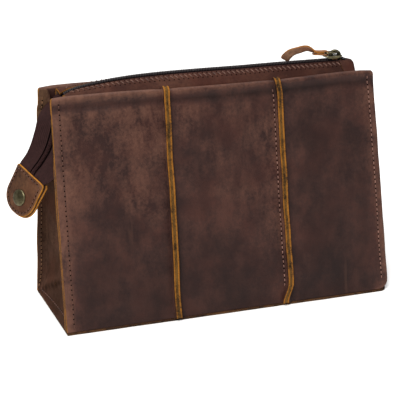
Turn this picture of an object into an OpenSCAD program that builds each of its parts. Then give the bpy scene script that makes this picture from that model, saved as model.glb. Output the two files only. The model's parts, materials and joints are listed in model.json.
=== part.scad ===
// Leather wash bag: a wedge-shaped body on a flat base, two leaning walls of three panels each,
// folding side gussets, a zip between two leather facings, and a zip tail that ends in a snap tab.
// Millimetres. +X is along the zip, -Y is the front, +Z is up.
// The origin is the middle of the base's underside.

/* [Body] */
// Width of the bag at the base, along the zip
body_w = 280; // [260:1:300]
// Depth of the base, front to back
base_d = 100; // [90:1:110]
// Depth between the walls' top edges, with the zip closed
top_d = 44; // [42:1:52]
// Height of a wall, measured up its own slope
wall_h = 187; // [175:1:200]
// How much narrower the walls are at the top, all of it at the right-hand end
right_taper = 8; // [0:1:12]
// Radius of the walls' lower right corners
corner_r = 8; // [4:1:14]

/* [Leather] */
// Thickness of the outer leather
leather_t = 1.8; // [1.4:0.1:1.8]
// Thickness of the lining cloth
lining_t = 0.5; // [0.3:0.1:0.6]
// Outer radius of the rolled top edge of a wall
roll_r = 2.3; // [2.2:0.1:2.4]
// How far the rolled top edge turns down inside
hem_h = 13; // [10:1:14]

/* [Seams] */
// Distance of each raised seam from the middle of the wall
seam_x = 48.5; // [40:0.5:52]
// How far the raised seams stand out from the wall
rib_h = 3.4; // [2:0.1:4.5]
// Thickness of the dark core between a seam's two leather edges
core_t = 0.8; // [0.4:0.1:1.2]
// How far the walls stand out sideways past the gussets
lip_w = 7; // [5:0.5:9]

/* [Gussets] */
// Thickness of the gusset leather
gusset_t = 1.6; // [1.2:0.1:1.6]
// Depth of the inward fold at the top of a gusset
fold_d = 34; // [20:1:38]
// Height at which the inward fold begins
fold_z = 28; // [24:1:34]
// Height of the gussets
gusset_h = 172; // [160:1:174]

/* [Zip] */
// Width of the zip tape, both halves together
tape_w = 31; // [26:1:31]
// Height of the zip coil's top above the ground
coil_top = 193; // [193:0.5:194]
// Width of the two coils together
coil_w = 6.2; // [5:0.1:6.4]
// Right-hand end of the coils
coil_end_x = 105; // [100:1:106]
// Left-hand end of the facings, where the tail begins
zip_end_x = -126; // [-128:1:-122]
// Length of the slider
slider_l = 15; // [13:0.5:16]
// Width of the slider
slider_w = 9.2; // [8:0.1:9.4]

/* [Tail] */
// Width of the snap tab
tab_w = 33; // [32:1:35]
// Length of the snap tab
tab_l = 36; // [34:1:42]
// Thickness of each leather layer of the tab
tab_t = 1.6; // [1.2:0.1:2]
// Radius of the snap's cap
snap_r = 7; // [6:0.5:8]
// Distance of the snap below the tab's top edge
snap_drop = 22; // [18:0.5:23]

/* [Hidden] */

LEATHER = [0.29, 0.18, 0.14];
DARK_CORE = [0.12, 0.11, 0.10];
BLACK_CLOTH = [0.10, 0.08, 0.09];
LINING = [0.16, 0.13, 0.11];
BOARD = [0.55, 0.47, 0.36];
BRASS = [0.36, 0.34, 0.22];

half_w = body_w / 2;
hinge_z = leather_t + 0.6;
lean = asin((base_d - top_d) / 2 / wall_h);
wall_top = hinge_z + wall_h * cos(lean);

// Side edge of a wall, as a distance from the middle, at a height up the wall
function right_edge(z) = half_w - right_taper * z / wall_h;

// ---- Shared shapes ------------------------------------------------------------------------------

// Carries a wall drawn upright, with its outer face at y = 0, to its place on the front of the bag
module front_frame() {
    translate([0, -base_d / 2, hinge_z]) rotate([-lean, 0, 0]) children();
}

// The back of the bag mirrors the front
module at_back() { mirror([0, 1, 0]) children(); }

// Extrudes an outline drawn in y and z along X
module along_x(x0, x1) {
    translate([x0, 0, 0]) rotate([90, 0, 90]) linear_extrude(x1 - x0) children();
}

// Extrudes an outline drawn in x and z inwards along Y
module along_y(y0, y1) {
    translate([0, y1, 0]) rotate([90, 0, 0]) linear_extrude(y1 - y0) children();
}

// One closed solid through a list of rings, each with the same number of points
module loft(rings) {
    n = len(rings[0]);
    m = len(rings);
    sides = [for (i = [0:m - 2], j = [0:n - 1])
        let (a = i * n + j, b = i * n + (j + 1) % n)
        each [[a, b, a + n], [b, b + n, a + n]]];
    caps = [[for (j = [n - 1:-1:0]) j], [for (j = [0:n - 1]) (m - 1) * n + j]];
    polyhedron([for (r = rings) each r], concat(sides, caps));
}

// One closed solid between two grids of points. The front grid faces the way a turn from its
// columns to its rows points: +X, where the columns run to +Y and the rows to +Z.
module grid_solid(front, back) {
    m = len(front);
    n = len(front[0]);
    far = m * n;
    last = (m - 1) * n;
    skins = [for (i = [0:m - 2], j = [0:n - 2])
        let (a = i * n + j)
        each [[a, a + n, a + n + 1], [a, a + n + 1, a + 1],
              [far + a, far + a + 1, far + a + n + 1], [far + a, far + a + n + 1, far + a + n]]];
    rims = [for (j = [0:n - 2])
        let (a = j, t = last + j)
        each [[a, a + 1, far + a + 1], [a, far + a + 1, far + a],
              [t + 1, t, far + t], [t + 1, far + t, far + t + 1]]];
    edges = [for (i = [0:m - 2])
        let (a = i * n, r = a + n - 1)
        each [[a + n, a, far + a], [a + n, far + a, far + a + n],
              [r, r + n, far + r + n], [r, far + r + n, far + r]]];
    polyhedron([for (g = [front, back]) each [for (row = g) each row]], concat(skins, rims, edges));
}

// ---- Walls --------------------------------------------------------------------------------------

// Outline of a whole wall: a rounded lower right corner and a tapered right edge
module wall_outline() {
    arc = [for (a = [-90:15:0]) [half_w - corner_r + corner_r * cos(a), corner_r + corner_r * sin(a)]];
    polygon(concat([[-half_w, 0]], arc, [[right_edge(wall_h), wall_h], [-half_w, wall_h]]));
}

// Section of the wall leather: a flat face, the rolled top edge and the hem inside it
module wall_section() {
    square([leather_t, wall_h - roll_r]);
    translate([roll_r, wall_h - roll_r]) difference() {
        circle(roll_r, $fn = 48);
        circle(roll_r - leather_t, $fn = 48);
        translate([-2 * roll_r, -4 * roll_r]) square(4 * roll_r);
    }
    translate([2 * roll_r - leather_t, wall_h - hem_h]) square([leather_t, hem_h - roll_r]);
}

// The outward-turned edge of a panel at a raised seam
module seam_flange(x) {
    translate([x, -rib_h, 0]) cube([leather_t, rib_h + 0.1, wall_h - roll_r]);
}

module wall_panel(x0, x1, left_flange, right_flange) {
    color(LEATHER) front_frame() {
        intersection() {
            along_x(x0, x1) wall_section();
            along_y(-1, 3 * roll_r) wall_outline();
        }
        if (left_flange) seam_flange(x0);
        if (right_flange) seam_flange(x1 - leather_t);
    }
}

module seam_core(x) {
    color(DARK_CORE) front_frame()
        translate([x - core_t / 2, -rib_h + 0.3, 0])
            cube([core_t, rib_h + leather_t - 0.3, wall_h - roll_r]);
}

module front_panel_left() { wall_panel(-half_w, -seam_x - core_t / 2, false, true); }
module front_panel_middle() { wall_panel(-seam_x + core_t / 2, seam_x - core_t / 2, true, true); }
module front_panel_right() { wall_panel(seam_x + core_t / 2, half_w, true, false); }
module front_seam_core_left() { seam_core(-seam_x); }
module front_seam_core_right() { seam_core(seam_x); }

// Turned-out edges of the gussets, sewn behind the walls' side edges
lip_top = wall_h - hem_h - 2;
module wall_lip(side) {
    reach = lip_w + 1.5;
    outer = [side * (side > 0 ? right_edge(0) : half_w), side * (side > 0 ? right_edge(lip_top) : half_w)];
    z0 = side > 0 ? corner_r : 1;
    color(LEATHER) front_frame() along_y(leather_t + 0.05, leather_t + 0.05 + gusset_t)
        polygon([
            [outer[0], z0], [outer[1], lip_top],
            [outer[1] - side * reach, lip_top], [outer[0] - side * reach, z0]
        ]);
}
module front_lip_left() { wall_lip(-1); }
module front_lip_right() { wall_lip(1); }

module front_lining() {
    inset = lip_w + 2.5;
    color(LINING) front_frame() along_y(leather_t + 0.1, leather_t + 0.1 + lining_t)
        polygon([[-half_w + inset, 3], [half_w - inset, 3],
                 [right_edge(lip_top) - inset, lip_top], [-half_w + inset, lip_top]]);
}

// ---- Facings, tape and coils --------------------------------------------------------------------

dip_x = 10;
dip_h = 9;
dip_power = 3.6;
end_dip_h = 2.7;
end_dip_power = 26;
facing_t = 1.4;
facing_edge_y = 5.5;
facing_end_x = 119.5;
stop_x = 113.4;

// The zip line drops towards its left-hand end, where the tail turns down over the gusset
function dip_share(x) = (dip_x - x) / (dip_x - zip_end_x);
function dip(x) =
    x > dip_x ? 0 : dip_h * pow(dip_share(x), dip_power) + end_dip_h * pow(dip_share(x), end_dip_power);
zip_steps = 16;
zip_stations = [for (k = [0:zip_steps]) zip_end_x + k * (dip_x - zip_end_x) / zip_steps];

// Lofts one y-z section along the zip; the points marked true follow the zip line as it drops
function ring_at(x, section) = [for (p = section) [x, p[0], p[1] - (p[2] ? dip(x) : 0)]];
module zip_strip(section, x_end) {
    loft([for (x = concat(zip_stations, [x_end])) ring_at(x, section)]);
}

// Inner face of the hem, where the facing is sewn
hem_foot_y = -base_d / 2 + (2 * roll_r + 0.3) * cos(lean) + (lip_top + 4) * sin(lean);
hem_head_y = -top_d / 2 + (2 * roll_r + 0.3) * cos(lean);
facing_foot_z = hinge_z + (lip_top + 4) * cos(lean);
facing_bend_z = wall_top - 0.6;
tape_z = coil_top - 2.3;
tape_t = 0.5;

module front_facing() {
    color(LEATHER) zip_strip([
        [hem_foot_y, facing_foot_z, false], [hem_head_y, facing_bend_z, false],
        [-facing_edge_y, tape_z + tape_t + facing_t, true], [-facing_edge_y, tape_z + tape_t + 0.05, true],
        [hem_head_y + facing_t, facing_bend_z - facing_t, false],
        [hem_foot_y + facing_t, facing_foot_z, false]
    ], facing_end_x);
}

module front_tape() {
    slope = (tape_z + tape_t - facing_bend_z + facing_t) / (-facing_edge_y - hem_head_y - facing_t);
    outer_y = -facing_edge_y - 6;
    outer_z = tape_z + tape_t - 6 * slope - 0.05;
    color(BLACK_CLOTH) zip_strip([
        [outer_y, outer_z, true],
        [-facing_edge_y, tape_z + tape_t, true],
        [-coil_w / 4, tape_z + tape_t, true],
        [-coil_w / 4, tape_z, true], [-facing_edge_y, tape_z, true], [outer_y, outer_z - tape_t, true]
    ], facing_end_x - 1);
}

module front_coil() {
    color(BLACK_CLOTH) zip_strip([
        [-coil_w / 2, tape_z + tape_t + 0.02, true], [-coil_w / 2, coil_top - 0.5, true],
        [-coil_w / 2 + 0.5, coil_top, true], [-0.05, coil_top, true], [-0.05, tape_z + tape_t + 0.02, true]
    ], coil_end_x);
}

// A moulded stop on each tape, just past the closed slider
module front_zip_stop() {
    color(BLACK_CLOTH) translate([stop_x, -3.4, tape_z + tape_t + 0.02]) cube([3, 2.9, 1.9]);
}

// Leather patch over the right-hand end of each facing
module front_end_patch() {
    color(LEATHER) translate([stop_x + 3.2, -facing_edge_y + 0.1, tape_z + tape_t + 0.02])
        cube([facing_end_x - stop_x - 3.4, facing_edge_y - 0.3, 1.7]);
}

// ---- Base ---------------------------------------------------------------------------------------

module base_panel() {
    arc = function (sy) [for (a = sy > 0 ? [0:15:90] : [-90:15:0])
        [half_w - corner_r + corner_r * cos(a), sy * (base_d / 2 - corner_r) + corner_r * sin(a)]];
    color(LEATHER) linear_extrude(leather_t)
        polygon(concat(arc(-1), arc(1), [[-half_w, base_d / 2], [-half_w, -base_d / 2]]));
}

board_t = 1.5;
board_w = body_w - 26;
board_d = base_d - 14;
module base_board() {
    color(BOARD) translate([-board_w / 2, -board_d / 2, leather_t + 0.02]) cube([board_w, board_d, board_t]);
}
module base_lining() {
    color(LINING)
        translate([-board_w / 2, -board_d / 2, leather_t + board_t + 0.04])
            cube([board_w, board_d, lining_t]);
}

// ---- Gussets ------------------------------------------------------------------------------------

gusset_steps_y = 10;
gusset_foot = leather_t + 0.1;
stud_z = 89;
stud_seat = 8;
gusset_levels = [
    fold_z, 45, 62, stud_z - stud_seat, stud_z + stud_seat,
    for (k = [1:4]) stud_z + stud_seat + k * 15
];

// Half the gusset's width, held clear of the wall stack on each side
wall_stack = leather_t + gusset_t + 1.2;
function gusset_half(z) = base_d / 2 - wall_stack / cos(lean) - (z - hinge_z) * tan(lean);
// How far the fold pushes in at a height, and the share of it across the width
function fold_at(z) = z < fold_z ? 0 : fold_d * pow((z - fold_z) / (gusset_h - fold_z), 1.3);
function bell(s) = 0.5 * (1 + cos(180 * max(0, (abs(s) - 0.2) / 0.8)));
function gusset_x(side, z) = side > 0 ? right_edge(z) - lip_w : -half_w + lip_w;
function gusset_point(side, z, s, depth) =
    [gusset_x(side, z) - side * (fold_at(z) * bell(s) + depth), s * gusset_half(z), z];

module gusset_sheet(side, near, far, low, high) {
    steps = [for (j = [0:gusset_steps_y]) -1 + 2 * j / gusset_steps_y];
    levels = [low, for (z = gusset_levels) if (z > low && z < high) z, high];
    grid = function (depth) [for (z = levels) [for (s = steps) gusset_point(side, z, s, depth)]];
    grid_solid(side > 0 ? grid(near) : grid(far), side > 0 ? grid(far) : grid(near));
}

module left_gusset() { color(LEATHER) gusset_sheet(-1, 0, gusset_t, gusset_foot, gusset_h); }
module right_gusset() { color(LEATHER) gusset_sheet(1, 0, gusset_t, gusset_foot, gusset_h); }
lining_gap = 0.1;
module gusset_lining(side) {
    color(LINING)
        gusset_sheet(side, gusset_t + lining_gap, gusset_t + lining_gap + lining_t, 5, gusset_h - 3);
}
module left_gusset_lining() { gusset_lining(-1); }
module right_gusset_lining() { gusset_lining(1); }

// ---- Snap fastener ------------------------------------------------------------------------------

stud_r = 2.6;
// The stud sits square on the flat middle of the fold
stud_in = (fold_at(stud_z + stud_seat) + fold_at(stud_z - stud_seat)) / 2;
stud_turn = atan((fold_at(stud_z + stud_seat) - fold_at(stud_z - stud_seat)) / (2 * stud_seat));
module at_stud(inward) {
    translate([-half_w + lip_w + stud_in, 0, stud_z])
        rotate([0, stud_turn, 0])
            translate([inward, 0, 0]) children();
}

// Turns a profile about the X axis, opening towards -X
module about_x() { rotate([0, -90, 0]) rotate_extrude($fn = 64) children(); }

// Stud on the left gusset: a flange, a waist and a head that the socket grips
module snap_stud() {
    color(BRASS) at_stud(-0.02) about_x()
        polygon([
            [0, 0], [5.2, 0], [5.2, 0.6], [2.2, 1.0], [2.2, 1.9],
            [stud_r, 2.5], [stud_r, 3.2], [2, 3.8], [0, 3.8]
        ]);
}
// Washer that clamps the stud from inside the lining
module stud_washer() {
    color(BRASS) at_stud((gusset_t + lining_gap + lining_t) * cos(stud_turn) + 0.05) rotate([0, 90, 0])
        cylinder(h = 0.8, r = 4.5, $fn = 64);
}

tab_pos = [-151.8, -1, 119.1];
tab_roll = 23.5;
tab_tilt = 12;
tab_twist = 31;
layer_gap = 0.6;
module tab_frame() {
    translate(tab_pos)
        rotate([0, 0, tab_twist]) rotate([0, tab_tilt, 0]) rotate([tab_roll, 0, 0]) children();
}
// The tab's outline: square at the top and round below
module tab_outline(inset) {
    translate([-tab_w / 2 + inset, -tab_l + tab_w / 2]) square([tab_w - 2 * inset, tab_l - tab_w / 2]);
    translate([0, -tab_l + tab_w / 2]) circle(tab_w / 2 - inset, $fn = 96);
}
post_r = 1.5;
module tab_layer(x0) {
    tab_frame() difference() {
        along_x(x0, x0 + tab_t) tab_outline(0);
        translate([x0 - 1, 0, -snap_drop])
            rotate([0, 90, 0]) cylinder(h = tab_t + 2, r = post_r + 0.1, $fn = 48);
    }
}
module tab_outer() { color(LEATHER) tab_layer(-layer_gap - tab_t); }
module tab_inner() { color(LEATHER) tab_layer(layer_gap); }
// End of the zip tape, sewn between the tab's layers
module tab_filler() {
    color(BLACK_CLOTH) tab_frame() translate([-layer_gap + 0.05, -tape_w / 2, -snap_drop + 5])
        cube([2 * layer_gap - 0.1, tape_w, snap_drop - 5.3]);
}
cap_h = 1.9;
post_l = 2 * (tab_t + layer_gap) + 0.3;
module snap_cap() {
    face = layer_gap + tab_t + 0.05;
    color(BRASS) tab_frame() translate([-face, 0, -snap_drop]) about_x()
        polygon([[0, -post_l], [post_r, -post_l], [post_r, 0], [snap_r, 0],
                 for (a = [0:15:90]) [snap_r - 1.4 + 1.4 * cos(a), 0.4 + (cap_h - 0.8) * sin(a)],
                  [0, cap_h]]);
}
socket_h = 3.0;
module snap_socket() {
    face = layer_gap + tab_t + 0.05;
    color(BRASS) tab_frame() translate([face, 0, -snap_drop]) rotate([0, 90, 0]) difference() {
        union() {
            cylinder(h = 0.8, r = 6, $fn = 64);
            cylinder(h = socket_h, r = 4.2, $fn = 64);
        }
        translate([0, 0, 0.7]) cylinder(h = socket_h, r = stud_r + 0.05, $fn = 48);
        translate([0, 0, -1]) cylinder(h = socket_h, r = post_r + 0.05, $fn = 48);
    }
}

// ---- Zip tail -----------------------------------------------------------------------------------

// Middle line of the tail, from the end of the facings down to the tab
tail_path = [
    [zip_end_x - 2.6, 0, 178.2], [-129.8, 0, 171.5], [-131.5, 0, 161], [-134.2, 0, 149.5], [-138.4, 0, 138],
    [-144.2, -0.5, 128.8], [-150.9, -1, 120.9]
];
// Width direction of the tab's top edge, towards the front
tab_width_dir = [
    sin(tab_twist) * cos(tab_roll) - cos(tab_twist) * sin(tab_tilt) * sin(tab_roll),
    -cos(tab_twist) * cos(tab_roll) - sin(tab_twist) * sin(tab_tilt) * sin(tab_roll),
    -cos(tab_tilt) * sin(tab_roll)
];
function unit(v) = v / norm(v);
function ease(t) = t * t * (3 - 2 * t);
tail_last = len(tail_path) - 1;
function tail_dir(i) = unit(tail_path[min(i + 1, tail_last)] - tail_path[max(i - 1, 0)]);
// The tail hangs flat from the facings, twists to face forwards, then turns back a little to meet the tab
tail_face_turn = 53.5;
tail_face_dir = unit([sin(tail_face_turn), -cos(tail_face_turn), -0.22]);
twist_start = 0.28;
return_start = 3.4;
twist_steps = 2.4;
function twist(i, start) = ease(min(1, max(0, (i - start) / twist_steps)));
function mix(a, b, t) = (1 - t) * a + t * b;
function tail_width_dir(i) =
    let (faced = mix([0, -1, 0], tail_face_dir, twist(i, twist_start)),
         w = mix(faced, tab_width_dir, twist(i, return_start)))
    unit(w - (w * tail_dir(i)) * tail_dir(i));
// A point of the tail: a distance across its width and a distance outwards, at one step of the path
function tail_point(i, across, out) =
    let (w = tail_width_dir(i)) tail_path[i] + across * w + out * cross(tail_dir(i), w);

tail_t = 0.8;
module tail_tape() {
    columns = [-tape_w / 2, -coil_w / 2, coil_w / 2, tape_w / 2];
    skin = function (out) [for (i = [0:tail_last]) [for (c = columns) tail_point(i, c, out)]];
    color(BLACK_CLOTH) grid_solid(skin(0), skin(tail_t));
}
module tail_coil() {
    columns = [-coil_w / 2, coil_w / 2];
    skin = function (out) [for (i = [0:tail_last]) [for (c = columns) tail_point(i, c, out)]];
    color(BLACK_CLOTH) grid_solid(skin(tail_t + 0.15), skin(2.4));
}

// ---- Slider and pull ----------------------------------------------------------------------------

slider_x1 = 113;
slider_x0 = slider_x1 - slider_l;
plate_t = 1.1;
plate_low = coil_top - 4.4;
plate_high = coil_top + 1.3;
bridge_r = 4.8;
bridge_x = slider_x1 - 5.6;
bridge_z = plate_high + plate_t + 0.6;
eye_r = 1.7;
eye_z = bridge_z + 1.8;
pin_r = 0.7;

module slider_body() {
    wedge_l = 2.4;
    wedge_w = 1.2;
    bridge_w = 2.4;
    color(BRASS) {
        for (z = [plate_low, plate_high])
            translate([slider_x0, -slider_w / 2, z]) cube([slider_l, slider_w, plate_t]);
        translate([slider_x1 - wedge_l, -wedge_w / 2, plate_low])
            cube([wedge_l, wedge_w, plate_high - plate_low + plate_t]);
        difference() {
            translate([bridge_x, bridge_w / 2, bridge_z])
                rotate([90, 0, 0]) cylinder(h = bridge_w, r = bridge_r, $fn = 64);
            translate([bridge_x, bridge_w, eye_z])
                rotate([90, 0, 0]) cylinder(h = 2 * bridge_w, r = eye_r, $fn = 48);
            translate([bridge_x - 2 * bridge_r, -bridge_w, bridge_z - 3 * bridge_r])
                cube([4 * bridge_r, 2 * bridge_w, 3 * bridge_r - 1]);
        }
    }
}

link_l = 8.5;
link_w = 6.4;
bar_x = bridge_x - link_l;
// Wire link: one cross bar turns in the slider's eye, the other carries the lace
module pull_link() {
    color(BRASS) {
        for (x = [bar_x, bridge_x])
            translate([x, link_w / 2, eye_z]) rotate([90, 0, 0]) cylinder(h = link_w, r = pin_r, $fn = 32);
        for (y = [-link_w / 2, link_w / 2])
            translate([bar_x, y, eye_z]) rotate([0, 90, 0]) cylinder(h = link_l, r = pin_r, $fn = 32);
        for (x = [bar_x, bridge_x], y = [-link_w / 2, link_w / 2])
            translate([x, y, eye_z]) sphere(pin_r, $fn = 32);
    }
}

// The lace's doubled end: it turns round the link's bar and lies back on itself
lace_t = 1.3;
loop_w = 4.4;
loop_l = 10;
loop_inner_r = pin_r + 0.1;
module pull_loop() {
    color(LEATHER) translate([0, loop_w / 2, 0]) rotate([90, 0, 0]) linear_extrude(loop_w)
        translate([bar_x, eye_z]) difference() {
            union() {
                circle(loop_inner_r + lace_t, $fn = 48);
                translate([-loop_l, -lace_t]) square([loop_l, 2 * lace_t]);
            }
            circle(loop_inner_r, $fn = 48);
        }
}

// Middle line of the single lace beyond the loop. It twists on edge as it arches over, and its
// free end comes down behind the zip. Each row holds x, y, the height above the eye and the twist.
lace_path = [
    [bar_x - loop_l - 0.5, 0, 0, 0], [85.5, 0, 2.4, 25], [81, 0.3, 4.6, 55], [76, 1, 5, 75],
    [71, 2.5, 3.6, 80], [66.8, 4.6, 1.6, 70], [64, 6.4, 0.4, 55]
];
lace_w = 5;
lace_last = len(lace_path) - 1;
function lace_at(i) = [lace_path[i][0], lace_path[i][1], eye_z + lace_path[i][2]];
function lace_dir(i) = unit(lace_at(min(i + 1, lace_last)) - lace_at(max(i - 1, 0)));
function lace_ring(i) =
    let (d = lace_dir(i), across = unit(cross([0, 0, 1], d)), up = cross(d, across), a = lace_path[i][3],
         w = (across * cos(a) + up * sin(a)) * lace_w / 2, n = (up * cos(a) - across * sin(a)) * lace_t / 2)
    [for (k = [[-1, -1], [-1, 1], [1, 1], [1, -1]]) lace_at(i) + k[0] * w + k[1] * n];
module pull_lace() { color(LEATHER) loft([for (i = [0:lace_last]) lace_ring(i)]); }

// ---- The parts ----------------------------------------------------------------------------------

base_panel();
base_board();
base_lining();
left_gusset();
right_gusset();
left_gusset_lining();
right_gusset_lining();
snap_stud();
stud_washer();
front_panel_left();
front_panel_middle();
front_panel_right();
front_seam_core_left();
front_seam_core_right();
front_lip_left();
front_lip_right();
front_lining();
front_facing();
front_tape();
front_coil();
front_zip_stop();
front_end_patch();
at_back() front_panel_left();  // back_panel_left
at_back() front_panel_middle();  // back_panel_middle
at_back() front_panel_right();  // back_panel_right
at_back() front_seam_core_left();  // back_seam_core_left
at_back() front_seam_core_right();  // back_seam_core_right
at_back() front_lip_left();  // back_lip_left
at_back() front_lip_right();  // back_lip_right
at_back() front_lining();  // back_lining
at_back() front_facing();  // back_facing
at_back() front_tape();  // back_tape
at_back() front_coil();  // back_coil
at_back() front_zip_stop();  // back_zip_stop
at_back() front_end_patch();  // back_end_patch
slider_body();
pull_link();
pull_loop();
pull_lace();
tail_tape();
tail_coil();
tab_outer();
tab_inner();
tab_filler();
snap_cap();
snap_socket();
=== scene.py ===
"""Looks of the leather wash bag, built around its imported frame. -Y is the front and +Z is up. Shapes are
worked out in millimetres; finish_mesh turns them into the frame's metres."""

import json
from math import asin, atan, copysign, cos, exp, hypot, pi, radians, sin, sqrt, tan

import bmesh
import bpy
import numpy as np
from mathutils import Matrix, Vector, noise


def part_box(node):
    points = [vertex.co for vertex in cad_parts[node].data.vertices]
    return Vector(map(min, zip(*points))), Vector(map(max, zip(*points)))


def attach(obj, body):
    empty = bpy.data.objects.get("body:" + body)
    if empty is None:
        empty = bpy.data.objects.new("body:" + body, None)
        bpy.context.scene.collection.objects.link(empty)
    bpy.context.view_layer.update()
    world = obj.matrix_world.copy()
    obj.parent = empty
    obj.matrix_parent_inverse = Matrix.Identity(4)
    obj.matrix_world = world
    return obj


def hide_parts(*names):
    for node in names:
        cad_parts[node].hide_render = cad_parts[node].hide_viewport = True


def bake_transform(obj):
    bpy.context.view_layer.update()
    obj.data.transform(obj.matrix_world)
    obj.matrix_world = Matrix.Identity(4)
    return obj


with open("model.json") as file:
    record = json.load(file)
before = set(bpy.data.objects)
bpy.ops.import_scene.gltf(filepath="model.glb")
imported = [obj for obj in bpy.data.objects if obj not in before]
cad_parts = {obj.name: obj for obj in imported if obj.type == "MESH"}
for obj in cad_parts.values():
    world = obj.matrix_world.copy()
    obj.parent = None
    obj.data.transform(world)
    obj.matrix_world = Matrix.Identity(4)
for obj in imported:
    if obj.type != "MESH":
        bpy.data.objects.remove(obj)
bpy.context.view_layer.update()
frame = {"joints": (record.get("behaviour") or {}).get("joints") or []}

MM = 0.001
JOINTS = {j["name"]: j for j in frame["joints"]}

# ---- Sizes from the frame, in mm ------------------------------------------------------------------

def box(name):
    """A CAD node's lowest and highest corner in millimetres."""
    low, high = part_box(name)
    return low / MM, high / MM


base_high = box("base_panel")[1]
HALF_W = base_high.x
HALF_D = base_high.y
LEATHER = base_high.z
HINGE_Z = JOINTS["front_wall_open"]["pos_m"][2] / MM

core_left_low, core_left_high = box("front_seam_core_left")
core_right_low, core_right_high = box("front_seam_core_right")
SEAM_LEFT = (core_left_low.x + core_left_high.x) / 2
SEAM_RIGHT = (core_right_low.x + core_right_high.x) / 2
CORE = core_left_high.x - core_left_low.x

ROLL_R = 2.3
RIB = 3.4
WALL_TOP = box("front_panel_middle")[1].z - RIB
TOP_HALF_D = 22
WALL_H = hypot(WALL_TOP - HINGE_Z, HALF_D - TOP_HALF_D)
LEAN = asin((HALF_D - TOP_HALF_D) / WALL_H)
HEM = 13
TAPER = 8
CORNER_R = 8
LIP = 7

GUSSET = 1.6
GUSSET_X = -box("left_gusset")[0].x
GUSSET_LOW = box("left_gusset")[0].z
GUSSET_TOP = box("left_gusset")[1].z
FOLD_DEPTH = box("left_gusset")[1].x - box("left_gusset")[0].x - GUSSET
FOLD_Z = 28
LINING = 0.5

SLIDER_LOW, SLIDER_HIGH = box("slider_body")
coil_low, coil_high = box("front_coil")
COIL_TOP = coil_high.z
COIL_LEFT, COIL_RIGHT = coil_low.x, coil_high.x
COIL_HALF = -coil_low.y
ZIP_LEFT = box("front_facing")[0].x
ZIP_RIGHT = SLIDER_HIGH.x + 5.2
DIP_X = 10
DIP_H = 9
DIP_POWER = 3.6
END_DIP_H = 2.7
END_DIP_POWER = 26


# ---- Small helpers --------------------------------------------------------------------------------

def smooth(t):
    t = min(1.0, max(0.0, t))
    return t * t * (3 - 2 * t)


def ramp(value, low, high):
    return smooth((value - low) / (high - low))


def hump(value, place, width):
    """A bell curve of height 1 round place."""
    return exp(-((value - place) / width) ** 2)


def lerp(a, b, t):
    return a + (b - a) * t


def ripple(x, y, seed, size):
    """Smooth noise from -1 to 1 whose bumps are about size across."""
    return noise.noise(Vector((x / size, y / size, seed * 13.7)))


def catmull(points, count):
    """A smooth curve through the points, as count samples."""
    pts = [np.array(p, float) for p in points]
    pts = [2 * pts[0] - pts[1]] + pts + [2 * pts[-1] - pts[-2]]
    out = []
    for i in range(count):
        u = i / (count - 1) * (len(pts) - 3)
        k = min(int(u), len(pts) - 4)
        t = u - k
        a, b, c, d = pts[k:k + 4]
        out.append(0.5 * (2 * b + (c - a) * t + (2 * a - 5 * b + 4 * c - d) * t * t
                          + (3 * b - a - 3 * c + d) * t ** 3))
    return np.array(out)


def unit(v):
    v = np.array(v, float)
    return v / np.linalg.norm(v)


# ---- Meshes ---------------------------------------------------------------------------------------

def bend(obj, body_a, body_b, start, end):
    """Bakes a piece's transform into its mesh. body_a and body_b are not used."""
    tuple(v * MM for v in start)
    tuple(v * MM for v in end)
    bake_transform(obj)


def settle(obj, slot, nodes=(), body=None):
    """Hides the CAD nodes that a piece stands for and hangs it on the body that it rides on. slot is not
    used.
    """
    if nodes:
        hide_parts(*nodes)
    if body:
        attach(obj, body)
    return obj


def weld(obj, dist, dissolve=0.0):
    """Joins a mesh's points that lie closer than dist, and drops what is thinner than dissolve."""
    work = bmesh.new()
    work.from_mesh(obj.data)
    bmesh.ops.remove_doubles(work, verts=work.verts, dist=dist)
    if dissolve:
        bmesh.ops.dissolve_degenerate(work, edges=work.edges, dist=dissolve)
    bmesh.ops.recalc_face_normals(work, faces=work.faces)
    work.to_mesh(obj.data)
    work.free()


def finish_mesh(name, verts, faces, materials, face_material, wear_and_shading=None, angle=38):
    """A mesh object with smooth faces, sharp only where they meet at more than angle."""
    mesh = bpy.data.meshes.new(name)
    mesh.from_pydata((np.array(verts, float) * MM).tolist(), [], faces)
    for m in materials:
        mesh.materials.append(m)
    mesh.polygons.foreach_set("material_index", face_material)
    mesh.polygons.foreach_set("use_smooth", [True] * len(mesh.polygons))
    if wear_and_shading is not None:
        layer = mesh.attributes.new("wear_and_shading", "FLOAT", "POINT")
        layer.data.foreach_set("value", np.array(wear_and_shading, np.float32))
    work = bmesh.new()
    work.from_mesh(mesh)
    bmesh.ops.recalc_face_normals(work, faces=work.faces)
    work.to_mesh(mesh)
    work.free()
    mesh.set_sharp_from_angle(angle=radians(angle))
    obj = bpy.data.objects.new(name, mesh)
    bpy.context.scene.collection.objects.link(obj)
    return obj


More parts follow.
